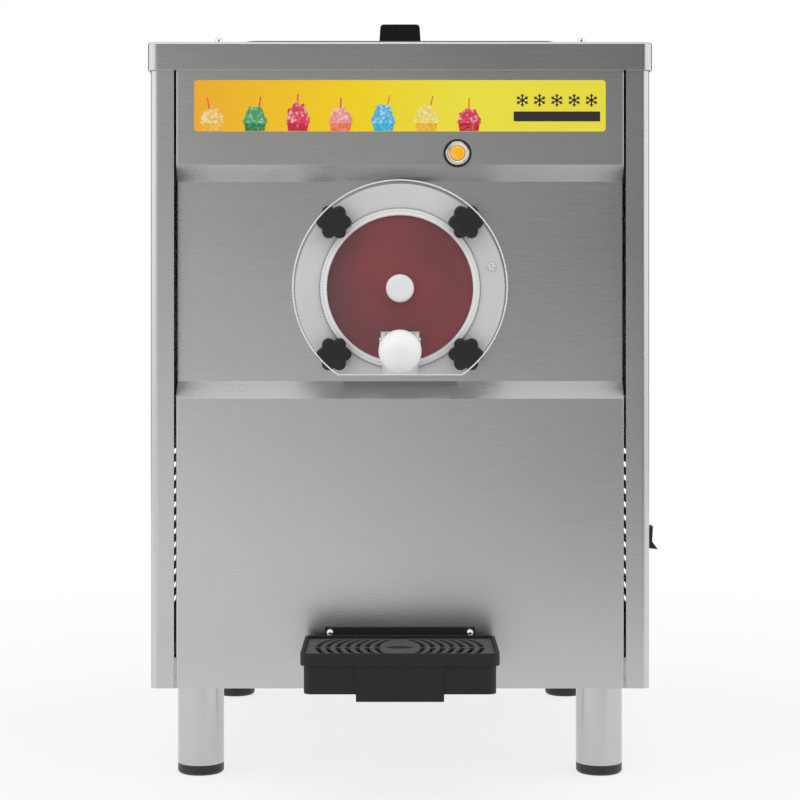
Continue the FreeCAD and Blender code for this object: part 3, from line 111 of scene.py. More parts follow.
class Shader:
    """A node material under construction around one principled shader."""

    def __init__(self, name: str) -> None:
        """Starts an empty material.

        Args:
            name: The material's name.
        """
        self.material = bpy.data.materials.new(name)
        self.material.use_nodes = True
        self.tree = self.material.node_tree
        self.body = self.tree.nodes["Principled BSDF"]
        self.output = self.tree.nodes["Material Output"]
        self.place = self.add("ShaderNodeTexCoord").outputs["Object"]

    def add(self, kind: str, **settings: object) -> bpy.types.Node:
        """Adds a node and sets its properties.

        Args:
            kind: The node's type name.
            settings: Properties of the node.

        Returns:
            The new node.
        """
        node = self.tree.nodes.new(kind)
        for key, value in settings.items():
            setattr(node, key, value)
        return node

    def link(self, source: bpy.types.NodeSocket, target: bpy.types.NodeSocket) -> None:
        """Joins an output socket to an input socket."""
        self.tree.links.new(source, target)

    def set(self, **values: object) -> None:
        """Sets constants on the principled shader; an underscore stands for a space."""
        for key, value in values.items():
            self.body.inputs[key.replace("_", " ")].default_value = value

    def noise(self, scale: float, detail: float = 3.0, grain: Grain = Grain.EVEN) -> bpy.types.NodeSocket:
        """Makes a stretched noise in the object's own space.

        Args:
            scale: Cycles of the noise for each metre.
            detail: Octaves of the noise.
            grain: How it is stretched.

        Returns:
            The noise's value socket.
        """
        stretch = self.add("ShaderNodeMapping")
        stretch.inputs["Scale"].default_value = grain.value
        self.link(self.place, stretch.inputs["Vector"])
        noise = self.add("ShaderNodeTexNoise")
        noise.inputs["Scale"].default_value = scale
        noise.inputs["Detail"].default_value = detail
        self.link(stretch.outputs["Vector"], noise.inputs["Vector"])
        return noise.outputs["Fac"]

    def ramp(self, source: bpy.types.NodeSocket, stops: Sequence[tuple[float, Colour]]) -> bpy.types.NodeSocket:
        """Turns a value into a colour.

        Args:
            source: The value.
            stops: Pairs of position and colour, in order.

        Returns:
            The colour socket.
        """
        node = self.add("ShaderNodeValToRGB")
        bar = node.color_ramp.elements
        while len(bar) < len(stops):
            bar.new(0.5)
        for stop, (where, colour) in zip(bar, stops):
            stop.position = where
            stop.color = (*colour, 1.0)
        self.link(source, node.inputs["Fac"])
        return node.outputs["Color"]

    def span(self, source: bpy.types.NodeSocket, low: float, high: float, start: float = 0.0,
             end: float = 1.0) -> bpy.types.NodeSocket:
        """Maps a value from one range to another, clamped.

        Args:
            source: The value.
            low: Where the new range starts.
            high: Where the new range ends.
            start: The old range's start.
            end: The old range's end.

        Returns:
            The mapped value's socket.
        """
        node = self.add("ShaderNodeMapRange")
        for key, value in (("From Min", start), ("From Max", end), ("To Min", low), ("To Max", high)):
            node.inputs[key].default_value = value
        self.link(source, node.inputs["Value"])
        return node.outputs["Result"]

    def along(self, axis: str) -> bpy.types.NodeSocket:
        """Gives the object coordinate along X, Y or Z."""
        split = self.add("ShaderNodeSeparateXYZ")
        self.link(self.place, split.inputs[0])
        return split.outputs[axis]

    def bump(self, height: bpy.types.NodeSocket, deep: float, strength: float = 1.0) -> None:
        """Adds surface relief to the shader.

        Args:
            height: The relief's height, 0 to 1.
            deep: The height in metres that 1 stands for.
            strength: How much of it is applied.
        """
        node = self.add("ShaderNodeBump")
        node.inputs["Distance"].default_value = deep
        node.inputs["Strength"].default_value = strength
        self.link(height, node.inputs["Height"])
        self.link(node.outputs["Normal"], self.body.inputs["Normal"])

    def colour(self, source: bpy.types.NodeSocket) -> None:
        """Feeds the shader's base colour."""
        self.link(source, self.body.inputs["Base Color"])

    def rough(self, source: bpy.types.NodeSocket) -> None:
        """Feeds the shader's roughness."""
        self.link(source, self.body.inputs["Roughness"])


def shade(colour: Colour, by: float) -> Colour:
    """Scales a colour, keeping it within 0 to 1."""
    return tuple(min(1.0, max(0.0, part * by)) for part in colour)


# ---------------------------------------------------------------- finishes


@dataclass(frozen=True)
class Finish:
    """A named surface finish; each kind makes its own node material."""

    name: str
    slot: Slot
    colour: Colour
    rough: float = 0.4

    def dress(self, shader: Shader) -> None:
        """Fills in the shader; each kind of finish has its own."""
        raise NotImplementedError

    def material(self) -> bpy.types.Material:
        """Makes the material, or finds it if it is already made."""
        ready = bpy.data.materials.get(self.name)
        if ready:
            return ready
        shader = Shader(self.name)
        self.dress(shader)
        return shader.material


@dataclass(frozen=True)
class BrushedSteel(Finish):
    """Stainless sheet with a fine level grain and faint handling marks."""

    grain: Grain = Grain.LEVEL_BRUSH
    pitch: float = 1500.0
    relief: float = 0.00001

    def dress(self, shader: Shader) -> None:
        """Grain in the colour, the roughness and the relief."""
        shader.set(Metallic=1.0)
        strands = shader.noise(self.pitch, 2.0, self.grain)
        cloud = shader.noise(6.0, 2.0)
        shader.colour(shader.ramp(strands, [(0.3, shade(self.colour, 0.985)), (0.7, shade(self.colour, 1.012))]))
        mix = shader.add("ShaderNodeMath", operation="MULTIPLY_ADD")
        shader.link(shader.span(strands, -0.015, 0.018, 0.3, 0.7), mix.inputs[0])
        mix.inputs[1].default_value = 1.0
        shader.link(shader.span(cloud, self.rough - 0.02, self.rough + 0.03, 0.3, 0.7), mix.inputs[2])
        shader.rough(mix.outputs[0])
        shader.bump(strands, self.relief, 0.35)


@dataclass(frozen=True)
class Polished(Finish):
    """Bright metal with a few fine rubs."""

    def dress(self, shader: Shader) -> None:
        """A smooth metal whose gloss varies a little."""
        shader.set(Metallic=1.0)
        rubs = shader.noise(260.0, 4.0)
        shader.colour(shader.ramp(rubs, [(0.3, shade(self.colour, 0.93)), (0.7, self.colour)]))
        shader.rough(shader.span(rubs, self.rough * 0.7, self.rough * 1.4, 0.3, 0.7))


@dataclass(frozen=True)
class Moulded(Finish):
    """Moulded plastic or rubber with a fine spark texture."""

    texture: float = 1800.0
    relief: float = 0.00003
    coat: float = 0.0
    specular: float = 0.5

    def dress(self, shader: Shader) -> None:
        """Fine pits, a slow drift of tone and an even gloss."""
        pits = shader.noise(self.texture, 3.0)
        drift = shader.noise(14.0, 2.0)
        shader.colour(shader.ramp(drift, [(0.3, shade(self.colour, 0.94)), (0.7, shade(self.colour, 1.04))]))
        shader.rough(shader.span(pits, self.rough - 0.05, self.rough + 0.06, 0.3, 0.7))
        shader.set(Coat_Weight=self.coat, Coat_Roughness=0.12, Specular_IOR_Level=self.specular)
        shader.bump(pits, self.relief, 0.4)


@dataclass(frozen=True)
class Spangled(Finish):
    """Galvanised sheet with zinc spangle."""

    def dress(self, shader: Shader) -> None:
        """Cells of slightly different grey and gloss."""
        shader.set(Metallic=0.9)
        cells = shader.add("ShaderNodeTexVoronoi")
        cells.inputs["Scale"].default_value = 90.0
        shader.link(shader.place, cells.inputs["Vector"])
        tone = shader.add("ShaderNodeSeparateColor")
        shader.link(cells.outputs["Color"], tone.inputs[0])
        value = tone.outputs[0]
        shader.colour(shader.ramp(value, [(0.0, shade(self.colour, 0.8)), (1.0, shade(self.colour, 1.15))]))
        shader.rough(shader.span(value, self.rough - 0.1, self.rough + 0.12))


@dataclass(frozen=True)
class TintedAcrylic(Finish):
    """Red tinted acrylic with the frozen drink pressed against its back, painted darker at its left edge as shade."""

    # The dark red of the drink's darker swirls and of the painted shade at the left edge.
    deep: Colour = (0.11, 0.05, 0.055)

    def dress(self, shader: Shader) -> None:
        """A glossy face over a mottled, slowly varying red, with painted shade towards the left edge."""
        swirl = shader.noise(19.0, 2.5)
        ice = shader.noise(700.0, 3.0)
        # Painted shade: this mask darkens the red towards the window's left edge.
        side = shader.span(shader.along("X"), 0.0, 1.0, -0.064, -0.035)
        mix = shader.add("ShaderNodeMath", operation="MULTIPLY")
        shader.link(shader.span(swirl, 0.62, 1.0, 0.34, 0.62), mix.inputs[0])
        shader.link(side, mix.inputs[1])
        shader.colour(shader.ramp(mix.outputs[0], [(0.0, self.deep), (1.0, self.colour)]))
        shader.set(Roughness=self.rough, IOR=1.49, Coat_Weight=0.5, Coat_Roughness=0.04)
        shader.bump(ice, 0.00001, 0.1)


@dataclass(frozen=True)
class ClearLens(Finish):
    """A glossy amber lens that is lit from behind."""

    glow: float = 0.25

    def dress(self, shader: Shader) -> None:
        """A warm colour with a faint mottle, under a clear coat."""
        depth = shader.noise(120.0, 2.0)
        shader.colour(shader.ramp(depth, [(0.3, shade(self.colour, 0.95)), (0.7, self.colour)]))
        shader.set(Roughness=self.rough, Coat_Weight=0.6, Coat_Roughness=0.05, Emission_Strength=self.glow,
                   Emission_Color=(*self.colour, 1.0))


@dataclass(frozen=True)
class PrintedSheet(Finish):
    """A printed label that runs from orange yellow at its left to lemon yellow at its right."""

    half_wide: float = 0.181
    middle: Colour = (1.0, 0.71, 0.0)
    right: Colour = (0.95, 0.84, 0.05)

    def dress(self, shader: Shader) -> None:
        """A run of colour along the label, with a faint print dot."""
        run = shader.span(shader.along("X"), 0.0, 1.0, -self.half_wide, self.half_wide)
        dots = shader.noise(2400.0, 2.0)
        mix = shader.add("ShaderNodeMath", operation="ADD")
        shader.link(run, mix.inputs[0])
        shader.link(shader.span(dots, -0.01, 0.01, 0.3, 0.7), mix.inputs[1])
        shader.colour(shader.ramp(mix.outputs[0], [(0.0, self.colour), (0.38, self.middle), (0.66, self.right),
                                                   (1.0, shade(self.right, 0.97))]))
        shader.set(Roughness=self.rough, Coat_Weight=0.3, Coat_Roughness=0.15)


@dataclass(frozen=True)
class CrushedIce(Finish):
    """Printed crushed ice: one colour broken by paler crystals."""

    pale: float = 0.5

    def dress(self, shader: Shader) -> None:
        """Crystals that are paler than the syrup between them."""
        cells = shader.noise(420.0, 4.0)
        light = tuple(part + (1.0 - part) * self.pale for part in self.colour)
        shader.colour(shader.ramp(cells, [(0.38, shade(self.colour, 0.85)), (0.5, self.colour), (0.66, light)]))
        shader.set(Roughness=self.rough)


@dataclass(frozen=True)
class CellFoam(Finish):
    """Rigid foam with fine open cells."""

    def dress(self, shader: Shader) -> None:
        """A cell pattern in colour and relief."""
        cells = shader.add("ShaderNodeTexVoronoi")
        cells.inputs["Scale"].default_value = 500.0
        shader.link(shader.place, cells.inputs["Vector"])
        shader.colour(shader.ramp(cells.outputs["Distance"],
                                  [(0.0, shade(self.colour, 0.8)), (0.6, self.colour)]))
        shader.set(Roughness=self.rough)
        shader.bump(cells.outputs["Distance"], 0.0004, 0.6)


STEEL = BrushedSteel("brushed_sheet", Slot.STAINLESS, (0.60, 0.597, 0.59), 0.27)
COVER_STEEL = BrushedSteel("brushed_cover", Slot.COVER, (0.57, 0.568, 0.562), 0.25)
LEG_STEEL = BrushedSteel("turned_leg", Slot.COVER, (0.55, 0.547, 0.54), 0.2, Grain.LEVEL_BRUSH, 1300.0,
                         0.00002)
FOOD_STEEL = BrushedSteel("satin_food_steel", Slot.FOOD_STEEL, (0.66, 0.665, 0.67), 0.22, Grain.EVEN, 900.0)
CHROME = Polished("bright_chrome", Slot.CHROME, (0.8, 0.8, 0.8), 0.1)
SATIN_CHROME = Polished("satin_chrome", Slot.CHROME, (0.88, 0.88, 0.88), 0.34)
COPPER = Polished("dull_copper", Slot.COPPER, (0.72, 0.4, 0.26), 0.35)
FINS = Polished("rolled_fins", Slot.FINS, (0.7, 0.71, 0.72), 0.3)
BLACK = Moulded("black_moulding", Slot.BLACK_PLASTIC, (0.011, 0.0113, 0.0117), 0.5, specular=0.4)
LID_BLACK = Moulded("lid_moulding", Slot.BLACK_PLASTIC, (0.008, 0.008, 0.0085), 0.65, specular=0.2)
TRAY_BLACK = Moulded("tray_moulding", Slot.TRAY, (0.016, 0.0165, 0.0165), 0.5, specular=0.25)
GRILLE_GREY = Moulded("grille_moulding", Slot.GRILLE, (0.075, 0.075, 0.076), 0.45, specular=0.35)
WHITE = Moulded("white_moulding", Slot.WHITE_PLASTIC, (0.88, 0.885, 0.89), 0.38)
BALL_WHITE = Moulded("ball_moulding", Slot.WHITE_PLASTIC, (0.9, 0.905, 0.91), 0.33, coat=0.15)
PLATE = Moulded("plate_moulding", Slot.PLATE, (0.66, 0.66, 0.66), 0.4)
RING_WHITE = Moulded("ring_moulding", Slot.PLATE, (0.9, 0.9, 0.9), 0.25, coat=0.5)
WINDOW = TintedAcrylic("red_acrylic_left_shade", Slot.WINDOW, (0.25, 0.055, 0.062), 0.16)
RUBBER = Moulded("black_rubber", Slot.BLACK_RUBBER, (0.02, 0.02, 0.02), 0.6, 900.0, 0.00006)
FOOT_RUBBER = Moulded("foot_rubber", Slot.BLACK_RUBBER, (0.018, 0.018, 0.019), 0.38, 900.0, 0.00004)
PALE_RUBBER = Moulded("pale_rubber", Slot.WHITE_RUBBER, (0.78, 0.78, 0.76), 0.6, 900.0, 0.00006)
FOAM = CellFoam("rigid_foam", Slot.FOAM, (0.85, 0.76, 0.5), 0.9)
ZINC = Spangled("zinc_sheet", Slot.GALVANISED, (0.55, 0.57, 0.58), 0.4)
ENAMEL = Moulded("black_enamel", Slot.MACHINE_BLACK, (0.02, 0.02, 0.023), 0.3, 500.0, 0.00008, 0.2)
CAST_GREY = Moulded("painted_casting", Slot.MACHINE_GREY, (0.35, 0.37, 0.39), 0.5, 420.0, 0.0002)
LABEL = PrintedSheet("printed_label", Slot.LABEL, (0.97, 0.46, 0.01), 0.35)
INK = Moulded("dark_ink", Slot.LABEL, (0.015, 0.012, 0.02), 0.5, 2400.0, 0.00001)
AMBER = ClearLens("amber_glow", Slot.AMBER, (1.0, 0.47, 0.005), 0.25, 0.12)


# ---------------------------------------------------------------- mesh tools


def show(name: str, mesh: bpy.types.Mesh, finishes: Sequence[Finish], body: str,
         stands_for: Iterable[str] = ()) -> bpy.types.Object:
    """Puts a finished mesh into the scene as a piece of the object.

    Args:
        name: The piece's name.
        mesh: Its mesh, in the frame's own coordinates.
        finishes: Its finishes, in the order of the mesh's material indices.
        body: The body it moves with.
        stands_for: The CAD nodes that it replaces.

    Returns:
        The new object.
    """
    piece = bpy.data.objects.new(name, mesh)
    bpy.context.scene.collection.objects.link(piece)
    for finish in finishes:
        mesh.materials.append(finish.material())
    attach(piece, body)
    if stands_for:
        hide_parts(*stands_for)
    log.info("%s rides %s with %d faces", name, body, len(mesh.polygons))
    return piece


def settle(piece: bpy.types.Object) -> None:
    """Applies a piece's modifiers to its mesh."""
    bpy.context.view_layer.update()
    graph = bpy.context.evaluated_depsgraph_get()
    done = bpy.data.meshes.new_from_object(piece.evaluated_get(graph))
    old = piece.data
    piece.modifiers.clear()
    piece.data = done
    bpy.data.meshes.remove(old)


def soften(piece: bpy.types.Object, radius: float, steps: int = 2, angle: float = 35.0) -> None:
    """Rounds a piece's sharp edges and shades it smoothly between them.

    Args:
        piece: The piece.
        radius: The rounding in metres.
        steps: Facets across the rounding.
        angle: The least angle, in degrees, that counts as an edge.
    """
    edge = piece.modifiers.new("round", "BEVEL")
    edge.width = radius
    edge.segments = steps
    edge.limit_method = "ANGLE"
    edge.angle_limit = math.radians(angle)
    edge.use_clamp_overlap = True
    edge.harden_normals = False
    settle(piece)
    piece.data.shade_smooth()
    even = piece.modifiers.new("even", "WEIGHTED_NORMAL")
    even.keep_sharp = True
    even.weight = 80
    settle(piece)


def bend_folds(work: bmesh.types.BMesh, radius: float) -> None:
    """Rounds the outer edge of each long fold between two broad faces of a sheet.

    Args:
        work: The sheet's mesh.
        radius: The rounding in metres.
    """
    folds = []
    for edge in work.edges:
        if len(edge.link_faces) != 2 or edge.calc_length() < FOLD_LEAST:
            continue
        if edge.calc_face_angle_signed() < FOLD_TURN:
            continue
        if min(face.calc_area() for face in edge.link_faces) > edge.calc_length() * FACE_LEAST:
            folds.append(edge)
    bmesh.ops.bevel(work, geom=folds, offset=radius, offset_type="OFFSET", segments=4, profile=0.5, affect="EDGES",
                    clamp_overlap=False)


def rounded_copy(node: str, name: str, finish: Finish, body: str, radius: float, steps: int = 2,
                 angle: float = 35.0, bend: float = 0.0) -> bpy.types.Object:
    """Makes a rounded, smoothly shaded mesh from a CAD node's shape and lets it stand for the node.

    Args:
        node: The CAD node.
        name: The new piece's name.
        finish: Its finish.
        body: The body it moves with.
        radius: The rounding of its edges in metres.
        steps: Facets across the rounding.
        angle: The least angle, in degrees, that counts as an edge.
        bend: The rounding of a sheet's folds in metres, if it is folded.

    Returns:
        The new object.
    """
    work = bmesh.new()
    work.from_mesh(bpy.data.objects[node].data)
    bmesh.ops.remove_doubles(work, verts=work.verts, dist=WELD)
    bmesh.ops.dissolve_limit(work, angle_limit=math.radians(0.6), verts=work.verts, edges=work.edges)
    if bend:
        bend_folds(work, bend)
    mesh = bpy.data.meshes.new(name)
    work.to_mesh(mesh)
    work.free()
    piece = show(name, mesh, [finish], body, [node])
    soften(piece, radius, steps, angle)
    return piece


def make_mesh(name: str, points: Sequence[Point], faces: Sequence[Sequence[int]],
              looks: Sequence[int] = ()) -> bpy.types.Mesh:
    """Makes a mesh with outward normals.

    Args:
        name: The mesh's name.
        points: Its corners.
        faces: Its faces as corner numbers.
        looks: A material index for each face, or none.

    Returns:
        The mesh.
    """
    mesh = bpy.data.meshes.new(name)
    mesh.from_pydata([tuple(p) for p in points], [], [tuple(f) for f in faces])
    if looks:
        mesh.polygons.foreach_set("material_index", list(looks))
    work = bmesh.new()
    work.from_mesh(mesh)
    bmesh.ops.recalc_face_normals(work, faces=work.faces)
    work.to_mesh(mesh)
    work.free()
    return mesh


def lathe(name: str, profile: Sequence[tuple[float, float]], centre: Vector, towards: Vector, steps: int = 96,
          shape: Callable[[int, float], float] | None = None) -> bpy.types.Mesh:
    """Turns a profile about an axis, with an optional outline that isn't round.

    Args:
        name: The mesh's name.
        profile: Pairs of distance along the axis and radius; a radius of 0 closes an end, and a
            profile without one is closed into a ring.
        centre: Where distance 0 is.
        towards: The axis's direction.
        steps: Facets around the axis.
        shape: Gives a factor on the radius for a profile point's number and an angle.

    Returns:
        The mesh.
    """
    axis = towards.normalized()
    across = axis.orthogonal().normalized() if abs(axis.x) > 0.5 else Vector((1, 0, 0))
    across = (across - axis * across.dot(axis)).normalized()
    up = axis.cross(across)
    points: list[Point] = []
    rings: list[list[int]] = []
    for number, (along, radius) in enumerate(profile):
        if radius == 0:
            rings.append([len(points)] * steps)
            points.append(tuple(centre + axis * along))
            continue
        rings.append(list(range(len(points), len(points) + steps)))
        for step in range(steps):
            turn = 2 * math.pi * step / steps
            reach = radius * (shape(number, turn) if shape else 1.0)
            points.append(tuple(centre + axis * along + (across * math.cos(turn) + up * math.sin(turn)) * reach))
    pairs = list(zip(rings, rings[1:]))
    if profile[0][1] and profile[-1][1]:
        pairs.append((rings[-1], rings[0]))
    faces: list[tuple[int, ...]] = []
    for near, far in pairs:
        for step in range(steps):
            after = (step + 1) % steps
            corners = dict.fromkeys((near[step], near[after], far[after], far[step]))
            if len(corners) > 2:
                faces.append(tuple(corners))
    return make_mesh(name, points, faces)


def rounded_end(along: float, radius: float, curve: float, way: int, steps: int = 4) -> list[tuple[float, float]]:
    """Gives the profile of a rounded outer edge, from the side wall to the end face.

    Args:
        along: Where the end face is.
        radius: The radius of the side wall.
        curve: The rounding.
        way: 1 if the end face looks along the axis, or -1.
        steps: Facets across the rounding.

    Returns:
        Profile points from the wall to the face.
    """
    turns = [math.pi / 2 * step / steps for step in range(steps + 1)]
    return [(along - way * curve * (1 - math.sin(t)), radius - curve * (1 - math.cos(t))) for t in turns]


def flat_prism(outline: Sequence[tuple[float, float]], front: float, back: float, base: int,
               ) -> tuple[list[Point], list[tuple[int, ...]]]:
    """Gives the corners and faces of a flat plate that faces -Y.

    Args:
        outline: Corners as x and z.
        front: The y of its face.
        back: The y of its back.
        base: The number of its first corner.

    Returns:
        Its corners and its faces.
    """
    count = len(outline)
    points = [(x, y, z) for y in (front, back) for x, z in outline]
    faces = [tuple(range(base, base + count)), tuple(range(base + 2 * count - 1, base + count - 1, -1))]
    faces += [(base + i, base + (i + 1) % count, base + count + (i + 1) % count, base + count + i)
              for i in range(count)]
    return points, faces


def middle(low: Vector, high: Vector) -> Vector:
    """Gives the point halfway between two corners."""
    return (low + high) / 2


def on_axis(low: Vector, high: Vector) -> Vector:
    """Gives the point halfway between two corners in x and z, at a y of 0."""
    centre = middle(low, high)
    return Vector((centre.x, 0, centre.z))


# ---------------------------------------------------------------- cabinet


@dataclass
class Cabinet:
    """The steel skin: front, sides, back, cover, screws, legs and feet."""

    bend: float = 1.4 * MM

    def build(self) -> None:
        """Builds the panels with rounded bends, then the legs and feet."""
        for node, name in (("front_panel", "folded_front"), ("left_side_panel", "folded_left_side"),
                           ("right_side_panel", "folded_right_side"), ("rear_panel", "folded_back")):
            rounded_copy(node, name, STEEL, "cabinet", 0.35 * MM, 3, bend=self.bend if node == "front_panel" else 0.0)
        rounded_copy("top_cover", "pressed_cover", COVER_STEEL, "cabinet", 0.5 * MM, 2)
        rounded_copy("legs", "tube_legs", LEG_STEEL, "cabinet", 0.4 * MM, 2)
        rounded_copy("feet", "leg_tips", FOOT_RUBBER, "cabinet", 0.8 * MM, 3)
        rounded_copy("dome_screws", "dome_heads", CHROME, "cabinet", 0.15 * MM, 2)
        rounded_copy("tray_bracket", "tray_holder", TRAY_BLACK, "cabinet", 0.6 * MM, 2)


@dataclass
class Lid:
    """The black hopper lid and its grip."""

    def build(self) -> None:
        """Builds the lid and grip with soft edges."""
        rounded_copy("hopper_lid", "lid_moulding", LID_BLACK, "lid", 0.8 * MM, 3)
        rounded_copy("lid_handle", "lid_grip", LID_BLACK, "lid", 1.2 * MM, 4)


# ---------------------------------------------------------------- header


@dataclass
class Drink:
    """One printed frozen drink: a cup, a mound of ice and a straw."""

    colour: Colour
    cup: Colour
    straw: Colour
    height: float
    lean: float
    lumps: int


@dataclass
class Header:
    """The label with its plain printed drinks, and the lit indicator."""

    cup_half: float = 9.6 * MM
    cup_taper: float = 0.86
    ink_thick: float = 0.12 * MM
    drinks: tuple[Drink, ...] = (
        Drink((0.95, 0.6, 0.12), (0.95, 0.55, 0.05), (0.85, 0.06, 0.05), 13.0, -0.2, 5),
        Drink((0.07, 0.4, 0.14), (0.01, 0.25, 0.08), (0.85, 0.06, 0.05), 14.0, 0.18, 3),
        Drink((0.8, 0.04, 0.1), (0.65, 0.01, 0.06), (0.85, 0.01, 0.2), 17.0, 0.0, 4),
        Drink((0.95, 0.33, 0.3), (0.95, 0.2, 0.1), (0.8, 0.01, 0.3), 13.0, 0.03, 3),
        Drink((0.08, 0.5, 0.8), (0.03, 0.5, 0.75), (0.9, 0.3, 0.02), 16.0, 0.22, 3),
        Drink((0.95, 0.75, 0.15), (0.97, 0.5, 0.02), (0.9, 0.22, 0.02), 15.0, 0.25, 5),
        Drink((0.75, 0.04, 0.1), (0.6, 0.01, 0.03), (0.9, 0.2, 0.02), 12.0, 0.0, 4),
    )

    def build(self) -> None:
        """Builds the label, its print and the indicator."""
        rounded_copy("label_plate", "header_label", LABEL, "cabinet", 0.25 * MM, 2)
        low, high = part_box("label_plate")
        pitch = (high.x - low.x) * 0.104
        first = low.x + pitch * 0.42
        for number, drink in enumerate(self.drinks):
            self.print_drink(number, drink, first + pitch * number, low)
        self.print_flakes(low, high)
        self.build_indicator()

    def mound(self, drink: Drink, across: float, foot: float) -> list[tuple[float, float]]:
        """Gives a lumpy half round of ice.

        Args:
            drink: The drink.
            across: Its middle in x.
            foot: The height of the cup's rim.

        Returns:
            The outline's corners.
        """
        corners = []
        for step in range(41):
            turn = math.pi * step / 40
            lump = 1.0 + 0.07 * math.sin(turn * drink.lumps * 2 + drink.lean * 9) + 0.03 * math.sin(turn * 13)
            wide = self.cup_half * 1.02 * lump
            tall = drink.height * MM * lump
            corners.append((across + wide * math.cos(turn),
                            foot + tall * math.sin(turn) ** 0.9))
        return corners

    def print_drink(self, number: int, drink: Drink, across: float, low: Vector) -> None:
        """Prints one drink on the label as thin layers of ink.

        Args:
            number: Its place in the row.
            drink: The drink.
            across: Its middle in x.
            low: The label's lowest corner.
        """
        rim = low.z + 8.2 * MM
        half = self.cup_half
        base, bottom = half * self.cup_taper, low.z + 0.4 * MM
        cup = [(across - base, bottom), (across + base, bottom), (across + half, rim), (across - half, rim)]
        lip = [(across - half * 1.12, rim - 0.7 * MM), (across + half * 1.12, rim - 0.7 * MM),
               (across + half * 1.12, rim + 0.5 * MM), (across - half * 1.12, rim + 0.5 * MM)]
        top = rim + drink.height * MM * 0.75
        tip = top + 12.0 * MM
        reach = drink.lean * 12.0 * MM
        foot = across + (3.0 * MM if drink.lean > 0.05 else -2.0 * MM if drink.lean < 0 else 0.0)
        straw = [(foot - 0.6 * MM, top), (foot + 0.6 * MM, top), (foot + reach + 0.6 * MM, tip),
                 (foot + reach - 0.6 * MM, tip)]
        points: list[Point] = []
        faces: list[tuple[int, ...]] = []
        looks: list[int] = []
        layers = (straw, self.mound(drink, across, rim), cup, lip)
        for layer, outline in enumerate(layers):
            front = low.y - self.ink_thick * (layer + 1) * 0.6
            corners, sides = flat_prism(outline, front, low.y + 0.05 * MM, len(points))
            points += corners
            faces += sides
            looks += [layer] * len(sides)
        name = f"printed_drink_{number + 1}"
        ice = CrushedIce(f"ice_ink_{number + 1}", Slot.LABEL, drink.colour, 0.5)
        cup_ink = CrushedIce(f"cup_ink_{number + 1}", Slot.LABEL, drink.cup, 0.35, 0.15)
        straw_ink = CrushedIce(f"straw_ink_{number + 1}", Slot.LABEL, drink.straw, 0.35, 0.1)
        lip_ink = CrushedIce(f"lip_ink_{number + 1}", Slot.LABEL, shade(drink.colour, 1.25), 0.35, 0.6)
        show(name, make_mesh(name, points, faces, looks), [straw_ink, ice, cup_ink, lip_ink], "cabinet")

    def print_flakes(self, low: Vector, high: Vector) -> None:
        """Prints a row of six-armed ice flakes over a dark band.

        Args:
            low: The label's lowest corner.
            high: The label's highest corner.
        """
        points: list[Point] = []
        faces: list[tuple[int, ...]] = []
        right = high.x - 5.0 * MM
        left = right - 76.0 * MM
        band = low.z + 9.0 * MM

        def lay(outline: Sequence[tuple[float, float]]) -> None:
            """Adds one thin layer of ink with this outline."""
            corners, sides = flat_prism(outline, low.y - self.ink_thick, low.y + 0.05 * MM, len(points))
            points.extend(corners)
            faces.extend(sides)

        lay([(left, band), (right, band), (right, band + 8.6 * MM), (left, band + 8.6 * MM)])
        for count in range(5):
            middle_x = left + (right - left) * (count + 0.5) / 5
            middle_z = band + 18.5 * MM
            for arm in range(6):
                turn = math.pi / 3 * arm + math.pi / 6
                along = Vector((math.cos(turn), math.sin(turn)))
                side = Vector((-along.y, along.x))
                self.lay_bar(lay, Vector((middle_x, middle_z)), along, side, 0.0, 5.6 * MM, 0.55 * MM)
                for way in (-1, 1):
                    twig = (along + side * way * 0.9).normalized()
                    start = Vector((middle_x, middle_z)) + along * 3.0 * MM
                    self.lay_bar(lay, start, twig, Vector((-twig.y, twig.x)), 0.0, 2.0 * MM, 0.4 * MM)
        show("printed_flakes", make_mesh("printed_flakes", points, faces), [INK], "cabinet")

    @staticmethod
    def lay_bar(lay: Callable[[Sequence[tuple[float, float]]], None], start: Vector, along: Vector, side: Vector,
                near: float, far: float, half: float) -> None:
        """Lays one straight bar of ink.

        Args:
            lay: Adds an outline to the print.
            start: Where the bar is measured from.
            along: Its direction.
            side: The direction across it.
            near: Where it starts along its direction.
            far: Where it ends.
            half: Half its width.
        """
        corners = [start + along * near - side * half, start + along * far - side * half,
                   start + along * far + side * half, start + along * near + side * half]
        lay([(corner.x, corner.y) for corner in corners])

    def build_indicator(self) -> None:
        """Builds the gasket, which also paints a dark halo of shade round the bezel, the bezel with its two spanner
        flats, and the lens.
        """
        low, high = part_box("indicator_bezel")
        outer = (high.x - low.x) / 2
        centre = on_axis(low, high)
        lens_low, lens_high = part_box("indicator_lens")
        lens = (lens_high.x - lens_low.x) / 2
        face = Vector((0, -1, 0))
        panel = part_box("front_panel")[0].y
        # A rubber gasket, made wider than the bezel so that it also paints a dark halo of shade round it.
        gasket = [(-panel - 0.1 * MM, outer * 0.96), (-panel - 0.1 * MM, outer * 1.22),
                  (-panel + 0.2 * MM, outer * 1.22), (-panel + 0.45 * MM, outer * 1.12),
                  (-panel + 0.5 * MM, outer * 0.96)]
        show("indicator_gasket_and_halo", lathe("indicator_gasket_and_halo", gasket, centre, face), [RUBBER], "cabinet")

        def flats(number: int, turn: float) -> float:
            """Cuts two flats high on the bezel's sides."""
            for at in (math.radians(38), math.radians(142)):
                off = abs((turn - at + math.pi) % (2 * math.pi) - math.pi)
                if number < 6 and off < 0.42:
                    return math.cos(0.42) / math.cos(off)
            return 1.0

